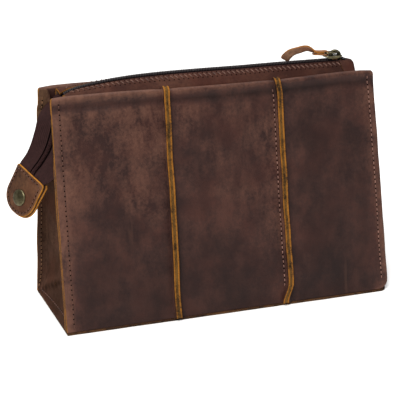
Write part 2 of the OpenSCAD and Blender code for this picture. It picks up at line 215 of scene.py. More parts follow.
def sheet(name, outer, inner, materials, wear_and_shading=None, edge_bulge=0.18, top_kind=2):
    """A closed sheet of leather or cloth between two grids of points with the same rows and columns.
    materials: grain side, flesh side, raw edge. The raw edges are slightly rounded. The last row's edge
    can take another of the materials."""
    outer, inner = np.array(outer, float), np.array(inner, float)
    m, n = outer.shape[:2]
    count = m * n
    rim = ([(0, j) for j in range(n)] + [(i, n - 1) for i in range(1, m)]
           + [(m - 1, j) for j in range(n - 2, -1, -1)] + [(i, 0) for i in range(m - 2, 0, -1)])
    middle = []
    for i, j in rim:
        a, b = outer[i, j], inner[i, j]
        inside = outer[min(max(i, 1), m - 2), min(max(j, 1), n - 2)]
        away = a - inside
        thick = b - a
        length = np.linalg.norm(thick) or 1e-9
        away = away - thick * (away @ thick) / length ** 2
        size = np.linalg.norm(away) or 1e-9
        middle.append((a + b) / 2 + away / size * length * edge_bulge)
    verts = np.concatenate([outer.reshape(-1, 3), inner.reshape(-1, 3), np.array(middle)])
    faces, kinds = [], []
    for i in range(m - 1):
        for j in range(n - 1):
            a = i * n + j
            faces.append((a, a + 1, a + n + 1, a + n))
            kinds.append(0)
            b = count + a
            faces.append((b, b + n, b + n + 1, b + 1))
            kinds.append(1)
    edge = [i * n + j for i, j in rim]
    for k in range(len(edge)):
        e, f = edge[k], edge[(k + 1) % len(edge)]
        p, q = 2 * count + k, 2 * count + (k + 1) % len(edge)
        faces.append((f, e, p, q))
        faces.append((q, p, count + e, count + f))
        kind = top_kind if rim[k][0] == m - 1 and rim[(k + 1) % len(rim)][0] == m - 1 else 2
        kinds += [kind, kind]
    full_wear_and_shading = None
    if wear_and_shading is not None:
        flat = np.array(wear_and_shading, float).reshape(-1)
        full_wear_and_shading = np.concatenate([flat, flat * 0, [flat[e] for e in edge]])
    return finish_mesh(name, verts, faces, materials, kinds, full_wear_and_shading, angle=50)


def sheet_of(name, rows, materials, **options):
    """A sheet from rows of (outer point, inner point) or (outer point, inner point, wear)."""
    layers = [[[point[k] for point in row] for row in rows] for k in range(len(rows[0][0]))]
    return sheet(name, *layers[:2], materials, *layers[2:], **options)


def tube_faces(m, n, start=0, closed=True):
    """Faces round m rings of n points that are numbered from start, with flat ends where it is closed."""
    faces = []
    for i in range(m - 1):
        for j in range(n):
            a, b = start + i * n + j, start + i * n + (j + 1) % n
            faces.append((a, b, b + n, a + n))
    if closed:
        faces.append(tuple(range(start + n - 1, start - 1, -1)))
        faces.append(tuple(range(start + (m - 1) * n, start + m * n)))
    return faces


def tube(name, rings, materials, kinds=None, closed=True, wear_and_shading=None, angle=38):
    """A tube through rings of points. kinds gives each segment's material round the ring."""
    rings = np.array(rings, float)
    m, n = rings.shape[:2]
    kind = list(kinds or [0] * n) * (m - 1)
    if closed:
        kind += [kind[0]] * 2
    faces = tube_faces(m, n, closed=closed)
    return finish_mesh(name, rings.reshape(-1, 3), faces, materials, kind, wear_and_shading, angle)


def tube_data(path, radius, sides=8, squash=1.0, up=(0, 0, 1)):
    """Rings of points round a path, for a wire or a thread. radius is one number or one for each point."""
    path = np.array(path, float)
    radii = np.broadcast_to(radius, len(path))
    rings = []
    for i, p in enumerate(path):
        d = unit(path[min(i + 1, len(path) - 1)] - path[max(i - 1, 0)])
        a = np.cross(up, d)
        a = unit(a) if np.linalg.norm(a) > 1e-6 else np.array([1.0, 0, 0])
        b = np.cross(d, a)
        rings.append([p + radii[i] * (a * cos(t) + b * squash * sin(t))
                      for t in around(sides)])
    return np.array(rings)


def many_tubes(name, tubes, material):
    """One mesh of many small closed tubes, such as a row of stitches or of coil turns."""
    verts, faces = [], []
    for rings in tubes:
        faces += tube_faces(*rings.shape[:2], start=len(verts))
        verts.extend(rings.reshape(-1, 3))
    return finish_mesh(name, verts, faces, [material], [0] * len(faces), angle=60)


def around(count):
    """Evenly spaced angles of a full turn."""
    return np.arange(count) * 2 * pi / count


def stitch_tube(a, b, normal, radius=0.42, rise=0.55):
    """One stitch: a short thread from a to b that dips into the leather at both ends."""
    a, b, normal = np.array(a, float), np.array(b, float), unit(normal)
    shape = [(0.0, -0.9, 0.55), (0.12, 0.1, 0.9), (0.35, rise, 1.0),
             (0.65, rise, 1.0), (0.88, 0.1, 0.9), (1.0, -0.9, 0.55)]
    path = [lerp(a, b, t) + normal * lift * radius for t, lift, _ in shape]
    return tube_data(path, [radius * k for _, _, k in shape], 6, up=tuple(normal))


def revolve(name, profile, place, material, wear_and_shading, steps=48):
    """A turned piece. profile holds (radius, height) pairs; place carries (x, y, z) with z as the axis."""
    rings = np.array([[place(r * cos(t), r * sin(t), h) for r, h in profile]
                      for t in around(steps)])
    n = len(profile)
    faces = []
    for i in range(steps):
        for j in range(n - 1):
            a, b = i * n + j, ((i + 1) % steps) * n + j
            faces.append((a, b, b + 1, a + 1))
    obj = finish_mesh(name, rings.reshape(-1, 3), faces, [material], [0] * len(faces), np.tile(wear_and_shading, steps))
    weld(obj, 1e-6)
    return obj


# ---- Materials ------------------------------------------------------------------------------------

class Graph:
    """A short way to write a material's nodes."""

    def __init__(self, name):
        self.material = bpy.data.materials.new(name)
        self.material.use_nodes = True
        self.tree = self.material.node_tree
        self.shader = self.tree.nodes["Principled BSDF"]
        self.coords = self.tree.nodes.new("ShaderNodeTexCoord").outputs["Object"]

    def node(self, kind, settings=None, **inputs):
        made = self.tree.nodes.new(kind)
        for key, value in (settings or {}).items():
            setattr(made, key, value)
        for key, value in inputs.items():
            socket = made.inputs[int(key[1:])] if key[0] == "_" else made.inputs[key.replace("_", " ")]
            self.put(socket, value)
        return made

    def put(self, socket, value):
        if isinstance(value, bpy.types.NodeSocket):
            self.tree.links.new(value, socket)
        else:
            socket.default_value = (*value, 1.0) if socket.type == "RGBA" else value

    def noise(self, scale, detail=4.0, rough=0.55, stretch=None, seed=0.0):
        vector = self.coords
        if stretch or seed:
            shift = (seed, seed * 0.7, seed * 1.3)
            vector = self.node("ShaderNodeMapping", Vector=vector, Location=shift,
                               Scale=stretch or (1, 1, 1)).outputs[0]
        return self.node("ShaderNodeTexNoise", Vector=vector, Scale=scale, Detail=detail,
                         Roughness=rough).outputs["Fac"]

    def math(self, operation, a, b=0.0, c=0.0):
        return self.node("ShaderNodeMath", {"operation": operation, "use_clamp": False},
                         _0=a, _1=b, _2=c).outputs[0]

    def total(self, *terms):
        """Adds values, each given alone or as a (value, weight) pair."""
        out = None
        for term in terms:
            term = self.math("MULTIPLY", *term) if isinstance(term, tuple) else term
            out = term if out is None else self.math("ADD", out, term)
        return out

    def clamp(self, a):
        return self.node("ShaderNodeClamp", Value=a).outputs[0]

    def remap(self, value, low, high, out_low, out_high):
        return self.node("ShaderNodeMapRange", _0=value, _1=low, _2=high, _3=out_low,
                         _4=out_high).outputs[0]

    def mix(self, factor, a, b):
        made = self.tree.nodes.new("ShaderNodeMix")
        made.data_type = "RGBA"
        self.put(made.inputs[0], factor)
        self.put(made.inputs[6], a)
        self.put(made.inputs[7], b)
        return made.outputs[2]

    def ramp(self, factor, stops):
        made = self.node("ShaderNodeValToRGB", Fac=factor)
        marks = made.color_ramp.elements
        while len(marks) < len(stops):
            marks.new(0.5)
        for mark, (place, colour) in zip(marks, stops):
            mark.position = place
            mark.color = (*colour, 1)
        return made.outputs[0]

    def bump(self, height, distance, strength=1.0, normal=None):
        made = self.node("ShaderNodeBump", Height=height, Distance=distance, Strength=strength)
        if normal is not None:
            self.put(made.inputs["Normal"], normal)
        return made.outputs[0]

    def attribute(self, name):
        return self.node("ShaderNodeAttribute", {"attribute_name": name}).outputs["Fac"]

    def done(self, colour, rough, normal=None, **values):
        self.put(self.shader.inputs["Base Color"], colour)
        self.put(self.shader.inputs["Roughness"], rough)
        if normal is not None:
            self.put(self.shader.inputs["Normal"], normal)
        for key, value in values.items():
            self.shader.inputs[key.replace("_", " ")].default_value = value
        return self.material


def scaled(colour, share):
    return tuple(c * share for c in colour)


def leather(name, dark, middle, warm, worn_and_lit, seed=0.0, grain=1.0, shine=0.16):
    """Oiled pull-up leather: soft dark and warm clouds, a fine pebbled grain with soft wrinkles, and a few
    faint scratches.
    The piece's point attribute lightens it above zero, for rubbed leather and painted highlights, and
    darkens it below zero with painted shade."""
    g = Graph(name)
    cloud = g.noise(14, 3, 0.5, seed=seed + 1)
    patch = g.noise(48, 5, 0.62, seed=seed + 2)
    streak = g.noise(110, 4, 0.62, stretch=(1, 1, 0.28), seed=seed + 6)
    fleck = g.noise(420, 5, 0.7, seed=seed + 3)
    tone = g.total((cloud, 0.30), (patch, 0.36), (streak, 0.34), g.remap(fleck, 0.3, 0.7, -0.06, 0.06))
    colour = g.ramp(tone, [(0.41, dark), (0.5, middle), (0.585, warm)])
    reddish = g.remap(g.noise(30, 4, 0.6, seed=seed + 8), 0.45, 0.62, 0.0, 0.55)
    colour = g.mix(reddish, colour, (middle[0] * 1.12, middle[1] * 0.86, middle[2] * 0.80))
    rub_and_shading = g.attribute("wear_and_shading")
    # Below zero the attribute mixes in a darker copy of the dark colour: painted shade.
    shade = g.clamp(g.total((rub_and_shading, -1.0), (g.remap(patch, 0.35, 0.65, -0.12, 0.12), -1.0)))
    colour = g.mix(shade, colour, scaled(dark, 0.42))
    wear_and_shading = g.total(rub_and_shading, (g.remap(tone, 0.40, 0.60, -0.42, 0.34), g.clamp(g.math("MULTIPLY", rub_and_shading, 3.0))))
    # Above zero it mixes in the rubbed colour: rubbed leather and painted highlights.
    colour = g.mix(g.math("MULTIPLY", g.clamp(wear_and_shading), 0.85), colour, worn_and_lit)
    scratch = g.noise(80, 3, 0.5, stretch=(1.4, 1.4, 0.14), seed=seed + 5)
    colour = g.mix(g.remap(scratch, 0.69, 0.78, 0.0, 0.15), colour, worn_and_lit)
    pebble = g.node("ShaderNodeTexVoronoi", {"feature": "SMOOTH_F1"}, Vector=g.coords,
                    Scale=820 * grain).outputs["Distance"]
    wrinkle = g.noise(170, 4, 0.6, stretch=(1, 1, 0.6), seed=seed + 4)
    normal = g.bump(g.total((pebble, -0.5), (wrinkle, 1.6), (fleck, 0.55)), 0.45 * MM, 0.55)
    rough = g.total(g.remap(patch, 0.3, 0.7, 0.5, 0.62), g.remap(fleck, 0.3, 0.7, -0.05, 0.05))
    return g.done(colour, rough, normal, Specular_IOR_Level=shine)


def raw_edge(name, dark, bright, share=0.5):
    """The cut edge of leather: bright fibres with dark stains."""
    g = Graph(name)
    fibre = g.noise(900, 5, 0.75, seed=4)
    stain = g.noise(150, 4, 0.65, seed=6)
    length = g.noise(38, 2, 0.5, seed=9)
    tone = g.total((fibre, 0.42), (stain, 0.38), (length, 0.2))
    colour = g.ramp(tone, [(share - 0.10, dark), (share + 0.01, bright),
                           (share + 0.15, scaled(bright, 1.4))])
    normal = g.bump(g.noise(1300, 4, 0.7, seed=8), 0.35 * MM, 0.8)
    return g.done(colour, 0.78, normal, Specular_IOR_Level=0.08)


def flesh_side(name, colour):
    """The suede inner side of leather."""
    g = Graph(name)
    nap = g.noise(650, 6, 0.75)
    shade = g.mix(g.remap(nap, 0.3, 0.7, 0.0, 1.0), scaled(colour, 0.6), colour)
    return g.done(shade, 0.88, g.bump(nap, 0.4 * MM, 0.7), Specular_IOR_Level=0.15)


def thread(name, dark, bright):
    g = Graph(name)
    strand = g.node("ShaderNodeTexWave", {"wave_type": "BANDS", "bands_direction": "DIAGONAL"},
                    Vector=g.coords, Scale=700, Distortion=2.0).outputs["Fac"]
    tone = g.noise(260, 3, 0.6)
    colour = g.mix(g.remap(tone, 0.35, 0.65, 0, 1), dark, bright)
    return g.done(colour, 0.6, g.bump(strand, 0.12 * MM, 0.6), Specular_IOR_Level=0.35)


def woven(name, dark, bright, pitch=0.45 * MM, rough=0.8):
    """Tightly woven cloth: warp and weft as two crossing waves."""
    g = Graph(name)
    period = 2 * pi / (20 * pitch)
    bands = []
    for direction in ("X", "Y", "Z"):
        bands.append(g.node("ShaderNodeTexWave", {"wave_type": "BANDS", "bands_direction": direction},
                            Vector=g.coords, Scale=period, Distortion=0.6, Detail=1.0).outputs["Fac"])
    weave = g.math("MULTIPLY", g.total(bands[0], bands[1]), g.total(bands[2], 0.4))
    weave = g.remap(weave, 0.0, 2.4, 0.0, 1.0)
    fuzz = g.noise(380, 5, 0.7)
    tone = g.total((weave, 0.6), (fuzz, 0.4))
    colour = g.mix(g.remap(tone, 0.2, 0.75, 0, 1), dark, bright)
    return g.done(colour, rough, g.bump(tone, 0.25 * MM, 0.8), Specular_IOR_Level=0.1)


def nylon(name, colour, shine=0.12):
    g = Graph(name)
    haze = g.noise(500, 3, 0.6)
    shade = g.mix(haze, scaled(colour, 0.6), scaled(colour, 1.6))
    rough = g.remap(haze, 0.3, 0.7, 0.3, 0.46)
    return g.done(shade, rough, g.bump(haze, 0.05 * MM, 0.4), Specular_IOR_Level=shine)


def antique_brass(name, dark, bright):
    """Darkened brass, brushed, with brighter metal where the piece's point attribute is high: rubbed edges,
    and a painted highlight on the link's upper side.
    """
    g = Graph(name)
    tarnish = g.noise(240, 5, 0.65, seed=3)
    brush = g.noise(500, 3, 0.6, stretch=(0.1, 1.0, 1.6), seed=5)
    wear_and_shading = g.clamp(g.total(g.attribute("wear_and_shading"), g.remap(tarnish, 0.35, 0.7, -0.2, 0.3)))
    colour = g.mix(wear_and_shading, dark, bright)
    rough = g.total(g.remap(brush, 0.3, 0.7, 0.3, 0.46), g.remap(tarnish, 0.3, 0.7, 0.08, -0.06))
    return g.done(colour, rough, g.bump(brush, 0.05 * MM, 0.5), Metallic=0.92)


def board(name, colour):
    g = Graph(name)
    pulp = g.noise(300, 6, 0.7)
    shade = g.mix(pulp, scaled(colour, 0.75), colour)
    return g.done(shade, 0.9, g.bump(pulp, 0.1 * MM, 0.5))


BODY = leather("body_leather", (0.0205, 0.0082, 0.0068), (0.0335, 0.0138, 0.0106),
               (0.0500, 0.0196, 0.0142), (0.1200, 0.0540, 0.0350))
GUSSET_SKIN = leather("gusset_leather", (0.0450, 0.0235, 0.0160), (0.0630, 0.0335, 0.0235),
                      (0.0820, 0.0430, 0.0290), (0.1350, 0.0720, 0.0400), seed=20, shine=0.0)
FACING_SKIN = leather("facing_leather", (0.0290, 0.0105, 0.0076), (0.0400, 0.0152, 0.0105),
                      (0.0520, 0.0200, 0.0130), (0.0900, 0.0400, 0.0250), seed=40, grain=1.2, shine=0.04)
TAB_SKIN = leather("tab_leather", (0.0260, 0.0115, 0.0070), (0.0520, 0.0230, 0.0120),
                   (0.0800, 0.0350, 0.0180), (0.1250, 0.0580, 0.0280), seed=60, grain=1.3, shine=0.08)
LACE_SKIN = leather("lace_leather", (0.1150, 0.0580, 0.0340), (0.2050, 0.1120, 0.0660),
                    (0.2600, 0.1450, 0.0880), (0.3300, 0.2050, 0.1300), seed=80, grain=1.6, shine=0.12)
AMBER = raw_edge("raw_edge_amber", (0.034, 0.016, 0.007), (0.195, 0.077, 0.011), 0.49)
TAB_EDGE = raw_edge("raw_edge_tab", (0.060, 0.026, 0.008), (0.300, 0.122, 0.017), 0.47)
LACE_EDGE = raw_edge("raw_edge_lace", (0.060, 0.024, 0.009), (0.240, 0.092, 0.016), 0.49)
BASE_EDGE = raw_edge("raw_edge_base", (0.012, 0.006, 0.004), (0.075, 0.033, 0.011), 0.55)
CORE_EDGE = raw_edge("seam_core_fibre", (0.008, 0.006, 0.004), (0.105, 0.052, 0.013), 0.51)
FLESH = flesh_side("flesh_side", (0.10, 0.055, 0.032))
THREAD = thread("stitch_thread", (0.080, 0.034, 0.024), (0.215, 0.108, 0.080))
DARK_THREAD = thread("dark_thread", (0.032, 0.011, 0.007), (0.105, 0.038, 0.021))
GUSSET_THREAD = thread("gusset_thread", (0.070, 0.029, 0.012), (0.190, 0.085, 0.035))
FACING_THREAD = thread("facing_thread", (0.045, 0.018, 0.012), (0.120, 0.052, 0.033))
# Near-black plugs paint the shade inside each needle hole.
HOLE_SHADE = nylon("needle_hole_shade", (0.004, 0.0025, 0.002), 0.0)
TAPE = woven("zip_tape_weave", (0.0040, 0.0015, 0.0017), (0.0460, 0.0180, 0.0165), 0.75 * MM)
COIL = nylon("zip_coil_nylon", (0.0120, 0.0075, 0.0085), 0.22)
# Near black: the painted shadow along the tail coil's edges, and the painted shade between the zip coil's
# turns.
GROOVE_SHADE = nylon("tail_groove_nylon", (0.0022, 0.0014, 0.0015), 0.0)
TAIL_COIL = nylon("tail_coil_nylon", (0.0240, 0.0105, 0.0100), 0.04)
CLOTH = woven("lining_cloth", (0.020, 0.014, 0.011), (0.060, 0.045, 0.035), 0.7 * MM, 0.9)
BRASS = antique_brass("antique_brass", (0.016, 0.014, 0.007), (0.26, 0.225, 0.13))
CAP_BRASS = antique_brass("cap_brass", (0.036, 0.029, 0.012), (0.24, 0.21, 0.12))
BOARD = board("stiffener_board", (0.30, 0.24, 0.16))


# ---- Wall geometry --------------------------------------------------------------------------------

def wall_point(side, x, inward, up):
    """A point of the front (side -1) or back (side 1) wall, as distances inwards and up the slope."""
    y = side * (HALF_D - inward * cos(LEAN) - up * sin(LEAN))
    z = HINGE_Z - inward * sin(LEAN) + up * cos(LEAN)
    return np.array([x, y, z])


STRAIGHT = WALL_H - ROLL_R
ARC = pi * ROLL_R
NECK = 8.5


def spine(s):
    """Place and outward direction (inward, up) of the wall's grain side, s along the leather:
    up the slope, over the rolled top edge and down the hem inside."""
    if s <= STRAIGHT:
        return (0.0, s), (-1.0, 0.0)
    if s <= STRAIGHT + ARC:
        t = (s - STRAIGHT) / ROLL_R
        return (ROLL_R - ROLL_R * cos(t), STRAIGHT + ROLL_R * sin(t)), (-cos(t), sin(t))
    return (2 * ROLL_R, STRAIGHT - (s - STRAIGHT - ARC)), (1.0, 0.0)


def seam_x(side, k, h):
    """Where seam k (0 left, 1 right) runs at height h up the wall. It is a little wavy."""
    t = h / WALL_H
    middle = SEAM_LEFT if k == 0 else SEAM_RIGHT
    drift = (-0.1 if k == 0 else lerp(1.5, -1.6, t))
    wave = 0.55 * ripple(h, 0, 3 + k + side * 5, 34)
    curl = 0.0
    if k == 1:
        curl = -0.7 * sin(pi * t) - 2.0 * ramp(h, WALL_H - 11, WALL_H + 3)
        if side < 0:
            curl -= 2.2 * (1 - ramp(h, 0, 17))
    return middle + drift + wave + curl


def rib_lean(side, k, h):
    """How far the rib's outer edge leans sideways."""
    sway = 0.35 * ripple(h, 5000, 9 + k + side, 26)
    if k == 1 and side < 0:
        sway -= 3.2 * (1 - ramp(h, 0, 18)) ** 1.5
    return sway


def side_edge(direction, h):
    """Where the wall ends at the left (-1) or right (1), at height h."""
    if direction < 0:
        round_top = 1.6 * ramp(h, WALL_H - 3.0, WALL_H + 2)
        return -HALF_W + round_top + 0.35 * ripple(h, 0, 31, 30)
    low = max(0.0, CORNER_R - h)
    corner = CORNER_R - sqrt(max(0.0, CORNER_R ** 2 - low ** 2))
    round_top = 1.8 * ramp(h, WALL_H - 3, WALL_H + 2.5)
    return HALF_W - TAPER * h / WALL_H - corner - round_top + 0.4 * ripple(h, 0, 37, 36)


def wall_puff(side, x, h):
    """How far the wall's leather stands out from its flat place: soft filling between the seams,
    slack waves, a swelling at the rolled top edge and a dip below it."""
    edges = [side_edge(-1, h), seam_x(side, 0, h), seam_x(side, 1, h), side_edge(1, h)]
    puff = 0.0
    for a, b in zip(edges, edges[1:]):
        if a <= x <= b:
            u = (x - a) / (b - a)
            crown = sin(pi * u) ** 0.75
            puff = 2.3 * crown * (0.25 + 0.75 * sin(pi * min(1, h / WALL_H)) ** 0.8)
            puff -= 1.2 * exp(-u * (b - a) / 5) + 0.5 * exp(-(1 - u) * (b - a) / 4)
    slack = 1.25 * ripple(x, h, 11 + side, 62) + 0.35 * ripple(x, h, 17 + side, 19)
    top = WALL_H - h
    stiff = 0.85 * sum(hump(x, e, 7) for e in edges)
    neck = (1.1 * hump(top, 1.0, 3.4)
            - 1.7 * hump(top, NECK, 3.6)) * max(0.0, 1 - stiff)
    return (puff + slack) * ramp(h, 0, 22) * (1 - 0.6 * ramp(h, WALL_H - 16, WALL_H)) + neck


def top_wave(x, h):
    """The top edge isn't quite straight: it rises over the outer panels and dips in the middle."""
    wave = 0.5 * cos(2 * pi * (x + 98) / 190) + 1.5 * ramp(x, 60, 125)
    return wave * (max(0, h) / WALL_H) ** 3


def wall_surface(side, x, d, s):
    """A point of a wall: x along it, d out from its grain side, s along the leather from the bottom."""
    (inward, up), (n_in, n_up) = spine(s)
    h = min(up, WALL_H)
    fade = 1 - ramp(s, STRAIGHT, STRAIGHT + ARC)
    out = d + wall_puff(side, x, h) * fade
    return wall_point(side, x, inward + n_in * out, up + n_up * out + top_wave(x, h))


def wall_rows():
    """Stations along the leather, closer together at the bottom corner and over the rolled edge."""
    rows = [0, 0.4, 1.2, 2.4, 4, 6, 8, 11, 14.5, 18.5]
    count = 44
    rows += [lerp(22, STRAIGHT - 18, k / count) for k in range(count + 1)]
    rows += [STRAIGHT - v for v in (15.5, 13, 10.5, 8, 6, 4, 2.2, 0.8)]
    rows += [STRAIGHT + ARC * k / 8 for k in range(9)]
    return rows + [STRAIGHT + ARC + v for v in (2, 4.5, 7, 9, HEM - 2.2)]


def height_at(s):
    """Height up the wall at a station along its leather."""
    return max(0.0, min(spine(s)[0][1], WALL_H))


def rib_share(s):
    """The ribs flatten as they run over the rolled edge."""
    return 1 - 0.75 * ramp(s, STRAIGHT + ARC * 0.28, STRAIGHT + ARC * 0.62)


BEND = 1.5
RIB_FLARE = 0.45
RIB_THIN = 0.28
FLANGE_STEPS = 4


def flange(edge, turn):
    """Section points of a panel's edge that is turned outwards, from its tip down to the panel. turn is 1
    at a left edge and -1 at a right edge."""
    half = LEATHER / 2
    foot = BEND - half
    points = []
    for k in range(FLANGE_STEPS):
        d = lerp(RIB, foot, k / FLANGE_STEPS)
        points.append((edge + turn * half, d, turn, 0.0, max(0, d) / RIB))
    for k in range(5):
        t = pi / 2 * (1 - k / 5)
        c, s = cos(t), sin(t)
        points.append((edge + turn * (half + BEND - BEND * s), foot - BEND * c, turn * s, c, 0))
    return points


def panel_section(x0, x1, left_flange, right_flange, columns=30):
    """Middle line of a panel's section as (x, d, nx, nd, rib share), with its edges turned outwards
    at the seams. n points to the grain side."""
    inset = LEATHER / 2 + BEND
    start, stop = x0 + left_flange * inset, x1 - right_flange * inset
    points = flange(x0, 1) if left_flange else []
    for k in range(columns + 1):
        u = k / columns
        u -= 0.06 * sin(2 * pi * u)
        points.append((lerp(start, stop, u), -LEATHER / 2, 0.0, 1.0, 0))
    return points + (flange(x1, -1)[::-1] if right_flange else [])


def panel_wear_and_shading(side, x, s):
    """Rubbed leather near the side edges is lighter; the rolled top edge is lighter, partly rubbed and
    partly a painted highlight.
    Painted highlights also lighten the upper left and the swell left of each rib. Painted shade darkens the
    hollow below the roll, the foot and a band right of each rib, where the rib's shadow falls. The right
    panel is darker."""
    (_, up), _ = spine(s)
    edge = min(x - side_edge(-1, up), side_edge(1, up) - x)
    top = WALL_H - up
    wear_and_shading = 0.44 * exp(-max(0, edge) / 8) + 0.10 * exp(-max(0, edge) / 28)
    rightness = ramp(x, -40, 120)
    # The rolled top edge is lighter: partly rubbed leather, partly a painted highlight.
    wear_and_shading += (0.46 - 0.10 * rightness) * hump(top, -1, 4.4)
    # Painted highlight: the upper left of the wall is lighter.
    wear_and_shading += 0.34 * ramp(up, 70, WALL_H) * (1 - ramp(x, -80, 20))
    # Painted shade in the hollow below the roll.
    wear_and_shading -= 0.75 * hump(top, 8.5, 3.2)
    wear_and_shading -= 0.36 * ramp(x, 52, 75) * ramp(edge, 4, 22) * (1 - 0.6 * ramp(up, 130, WALL_H))
    # Painted shade: darker towards the foot.
    wear_and_shading -= 0.56 * (1 - ramp(up, 8, 100)) * ramp(edge, 3, 14) * (1 - 0.5 * rightness)
    for k in (0, 1):
        away = x - seam_x(side, k, up)
        # Painted shadow of the rib on its right, painted highlight on the swell left of it.
        if away > 0:
            wear_and_shading -= 0.40 * hump(away, 3.6, 3.4)
        else:
            wear_and_shading += (0.16 + 0.40 * k) * exp(-max(0.0, -away - 2) / (7 + 7 * k)) * ramp(top, 12, 40)
    wear_and_shading += 0.22 * ripple(x, up, 51 + side, 48) + 0.20 * ripple(x, up, 53 + side, 19)
    return max(-1.0, min(1.0, wear_and_shading)) * (1 if s < STRAIGHT + ARC * 0.8 else 0.4)


def build_panel(side, name, node, left, right, left_flange, right_flange):
    """left and right give the panel's edges at a height up the wall."""
    rows = []
    for s in wall_rows():
        h = height_at(s)
        row = []
        for x, d, nx, nd, share in panel_section(left(h), right(h), left_flange, right_flange):
            k = 0 if x < 0 else 1
            d = d * rib_share(s) if d > 0 else d
            lean = rib_lean(side, k, h) * share ** 1.5 + nx * RIB_FLARE * share
            d *= 1 + 0.10 * ripple(h, 3000, 61 + k, 18) * share
            half = LEATHER / 2 * (1 - RIB_THIN * share)
            out_x = x + nx * half + lean
            in_x = x - nx * half + lean
            row.append((wall_surface(side, out_x, d + nd * half, s),
                        wall_surface(side, in_x, d - nd * half, s), panel_wear_and_shading(side, out_x, s)))
        rows.append(row)
    return settle(sheet_of(name, rows, [BODY, FLESH, AMBER]), "body_leather", [node])


def build_seam_core(side, k, name, node):
    """The dark strip between a seam's two raw edges. Its outer face lies just below theirs."""
    rings = []
    for s in wall_rows():
        h = height_at(s)
        x, lean = seam_x(side, k, h), rib_lean(side, k, h)
        top = rib_share(s) * RIB - 0.15 + 0.3 * ripple(s, 2000, 71 + k, 4)
        shape = ((-1, -LEATHER, 0), (1, -LEATHER, 0), (1, top * 0.3, 0.15), (1, top - 0.2, 1),
                 (0.5, top, 1), (-0.5, top, 1), (-1, top - 0.2, 1), (-1, top * 0.3, 0.15))
        rings.append([wall_surface(side, x + q * (CORE * 0.62 + 0.6 * share) + lean * share, d, s)
                      for q, d, share in shape])
    return settle(tube(name, rings, [CORE_EDGE]), "seam_core", [node])


def wall_normal(side, x, s):
    """Outward direction of the wall's surface, its waves included."""
    step = 1
    a = wall_surface(side, x + step, 0, s) - wall_surface(side, x - step, 0, s)
    b = wall_surface(side, x, 0, s + step) - wall_surface(side, x, 0, s - step)
    n = unit(np.cross(a, b))
    return n if n[1] * side > 0 else -n


def stitch_row(name, on_surface, low, high, pitch, length, radius, slot, material):
    """A row of stitches with a dark plug in each gap that paints the shade inside a needle hole. on_surface
    gives a place and its normal.
    """
    threads, holes = [], []
    s = low
    while s + length < high:
        (a, n_a), (b, n_b) = on_surface(s), on_surface(s + length)
        threads.append(stitch_tube(a, b, unit(n_a + n_b), radius))
        if s > low:
            p, n = on_surface(s - (pitch - length) / 2)
            up = (1, 0, 0) if abs(n[0]) < 0.7 * np.linalg.norm(n) else (0, 1, 0)
            holes.append(tube_data([p - n * 0.5, p + n * 0.06, p + n * 0.1],
                                   [radius * 1.35, radius * 1.3, radius * 0.8], 8, up=up))
        s += pitch
    hole_shade_name = name.replace("stitches", "holes")
    return [settle(many_tubes(name, threads, material), slot),
            settle(many_tubes(hole_shade_name, holes, HOLE_SHADE), slot)]


STITCH_PITCH = 3.9
STITCH_R = 0.46
EDGE_MARGIN = 5.6
SEAM_MARGIN = 4.6


def wall_stitches(side, name, place, low, high, length, material):
    """A row of stitches up a wall; place gives its x at a height."""
    def on_surface(s):
        x = place(s) + 0.15 * ripple(s, 1000, 81, 3)
        return wall_surface(side, x, 0, s), wall_normal(side, x, s)
    return stitch_row(name, on_surface, low, high, STITCH_PITCH, length, STITCH_R, "body_leather", material)


def build_wall(side, word):
    edges = [lambda h: side_edge(-1, h), lambda h: seam_x(side, 0, h), lambda h: seam_x(side, 1, h),
             lambda h: side_edge(1, h)]
    pieces = []
    for k, part in enumerate(("left", "middle", "right")):
        inset = [CORE / 2 if k > 0 else 0.0, CORE / 2 if k < 2 else 0.0]
        pieces.append(build_panel(side, f"{word}_leather_{part}", f"{word}_panel_{part}",
                                  lambda h: edges[k](h) + inset[0], lambda h: edges[k + 1](h) - inset[1],
                                  k > 0, k < 2))
    for k, part in enumerate(("left", "right")):
        pieces.append(build_seam_core(side, k, f"{word}_core_{part}", f"{word}_seam_core_{part}"))
    rows = {
        "left": (lambda h: side_edge(-1, h) + EDGE_MARGIN, 3, WALL_H - 0.6, 2.8, DARK_THREAD),
        "right": (lambda h: side_edge(1, h) - EDGE_MARGIN, 9, WALL_H - 1.2, 2.2, THREAD),
        "seam": (lambda h: seam_x(side, 1, h) - SEAM_MARGIN, 14, WALL_H - 4, 2.1, THREAD),
    }
    for row, (place, low, high, length, material) in rows.items():
        pieces += wall_stitches(side, f"{word}_stitches_{row}", place, low, high, length, material)
    for direction, end in ((-1, "left"), (1, "right")):
        pieces.append(build_edge_core(side, direction, f"{word}_edge_core_{end}"))
    for piece in pieces:
        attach(piece, f"{word}_wall")


def build_edge_core(side, direction, name):
    """Dark filler that shows between the wall's side edge and the gusset's turned-out edge."""
    rings = []
    low = 1.5 if direction < 0 else CORNER_R * 0.7
    count = 60
    for i in range(count + 1):
        h = lerp(low, WALL_H - HEM - 3, i / count)
        reach = side_edge(direction, h) + direction * 0.35 * (1 + ripple(h, 0, 91 + side, 9))
        out = wall_puff(side, side_edge(direction, h), h)
        near, far = LEATHER - out, LEATHER - out + 0.55
        ring = [(reach - direction * 6, near), (reach, near), (reach + direction * 0.15, (near + far) / 2),
                (reach, far), (reach - direction * 6, far)]
        rings.append([wall_point(side, x, inward, h) for x, inward in ring])
    return settle(tube(name, rings, [CORE_EDGE]), "seam_core")


# ---- Gussets --------------------------------------------------------------------------------------

def fold_in(z):
    """How far the gusset's middle is pushed into the bag at a height."""
    if z < FOLD_Z:
        return 0.0
    return FOLD_DEPTH * ((z - FOLD_Z) / (GUSSET_TOP - FOLD_Z)) ** 1.3


FOOT_FLARE = 6.8


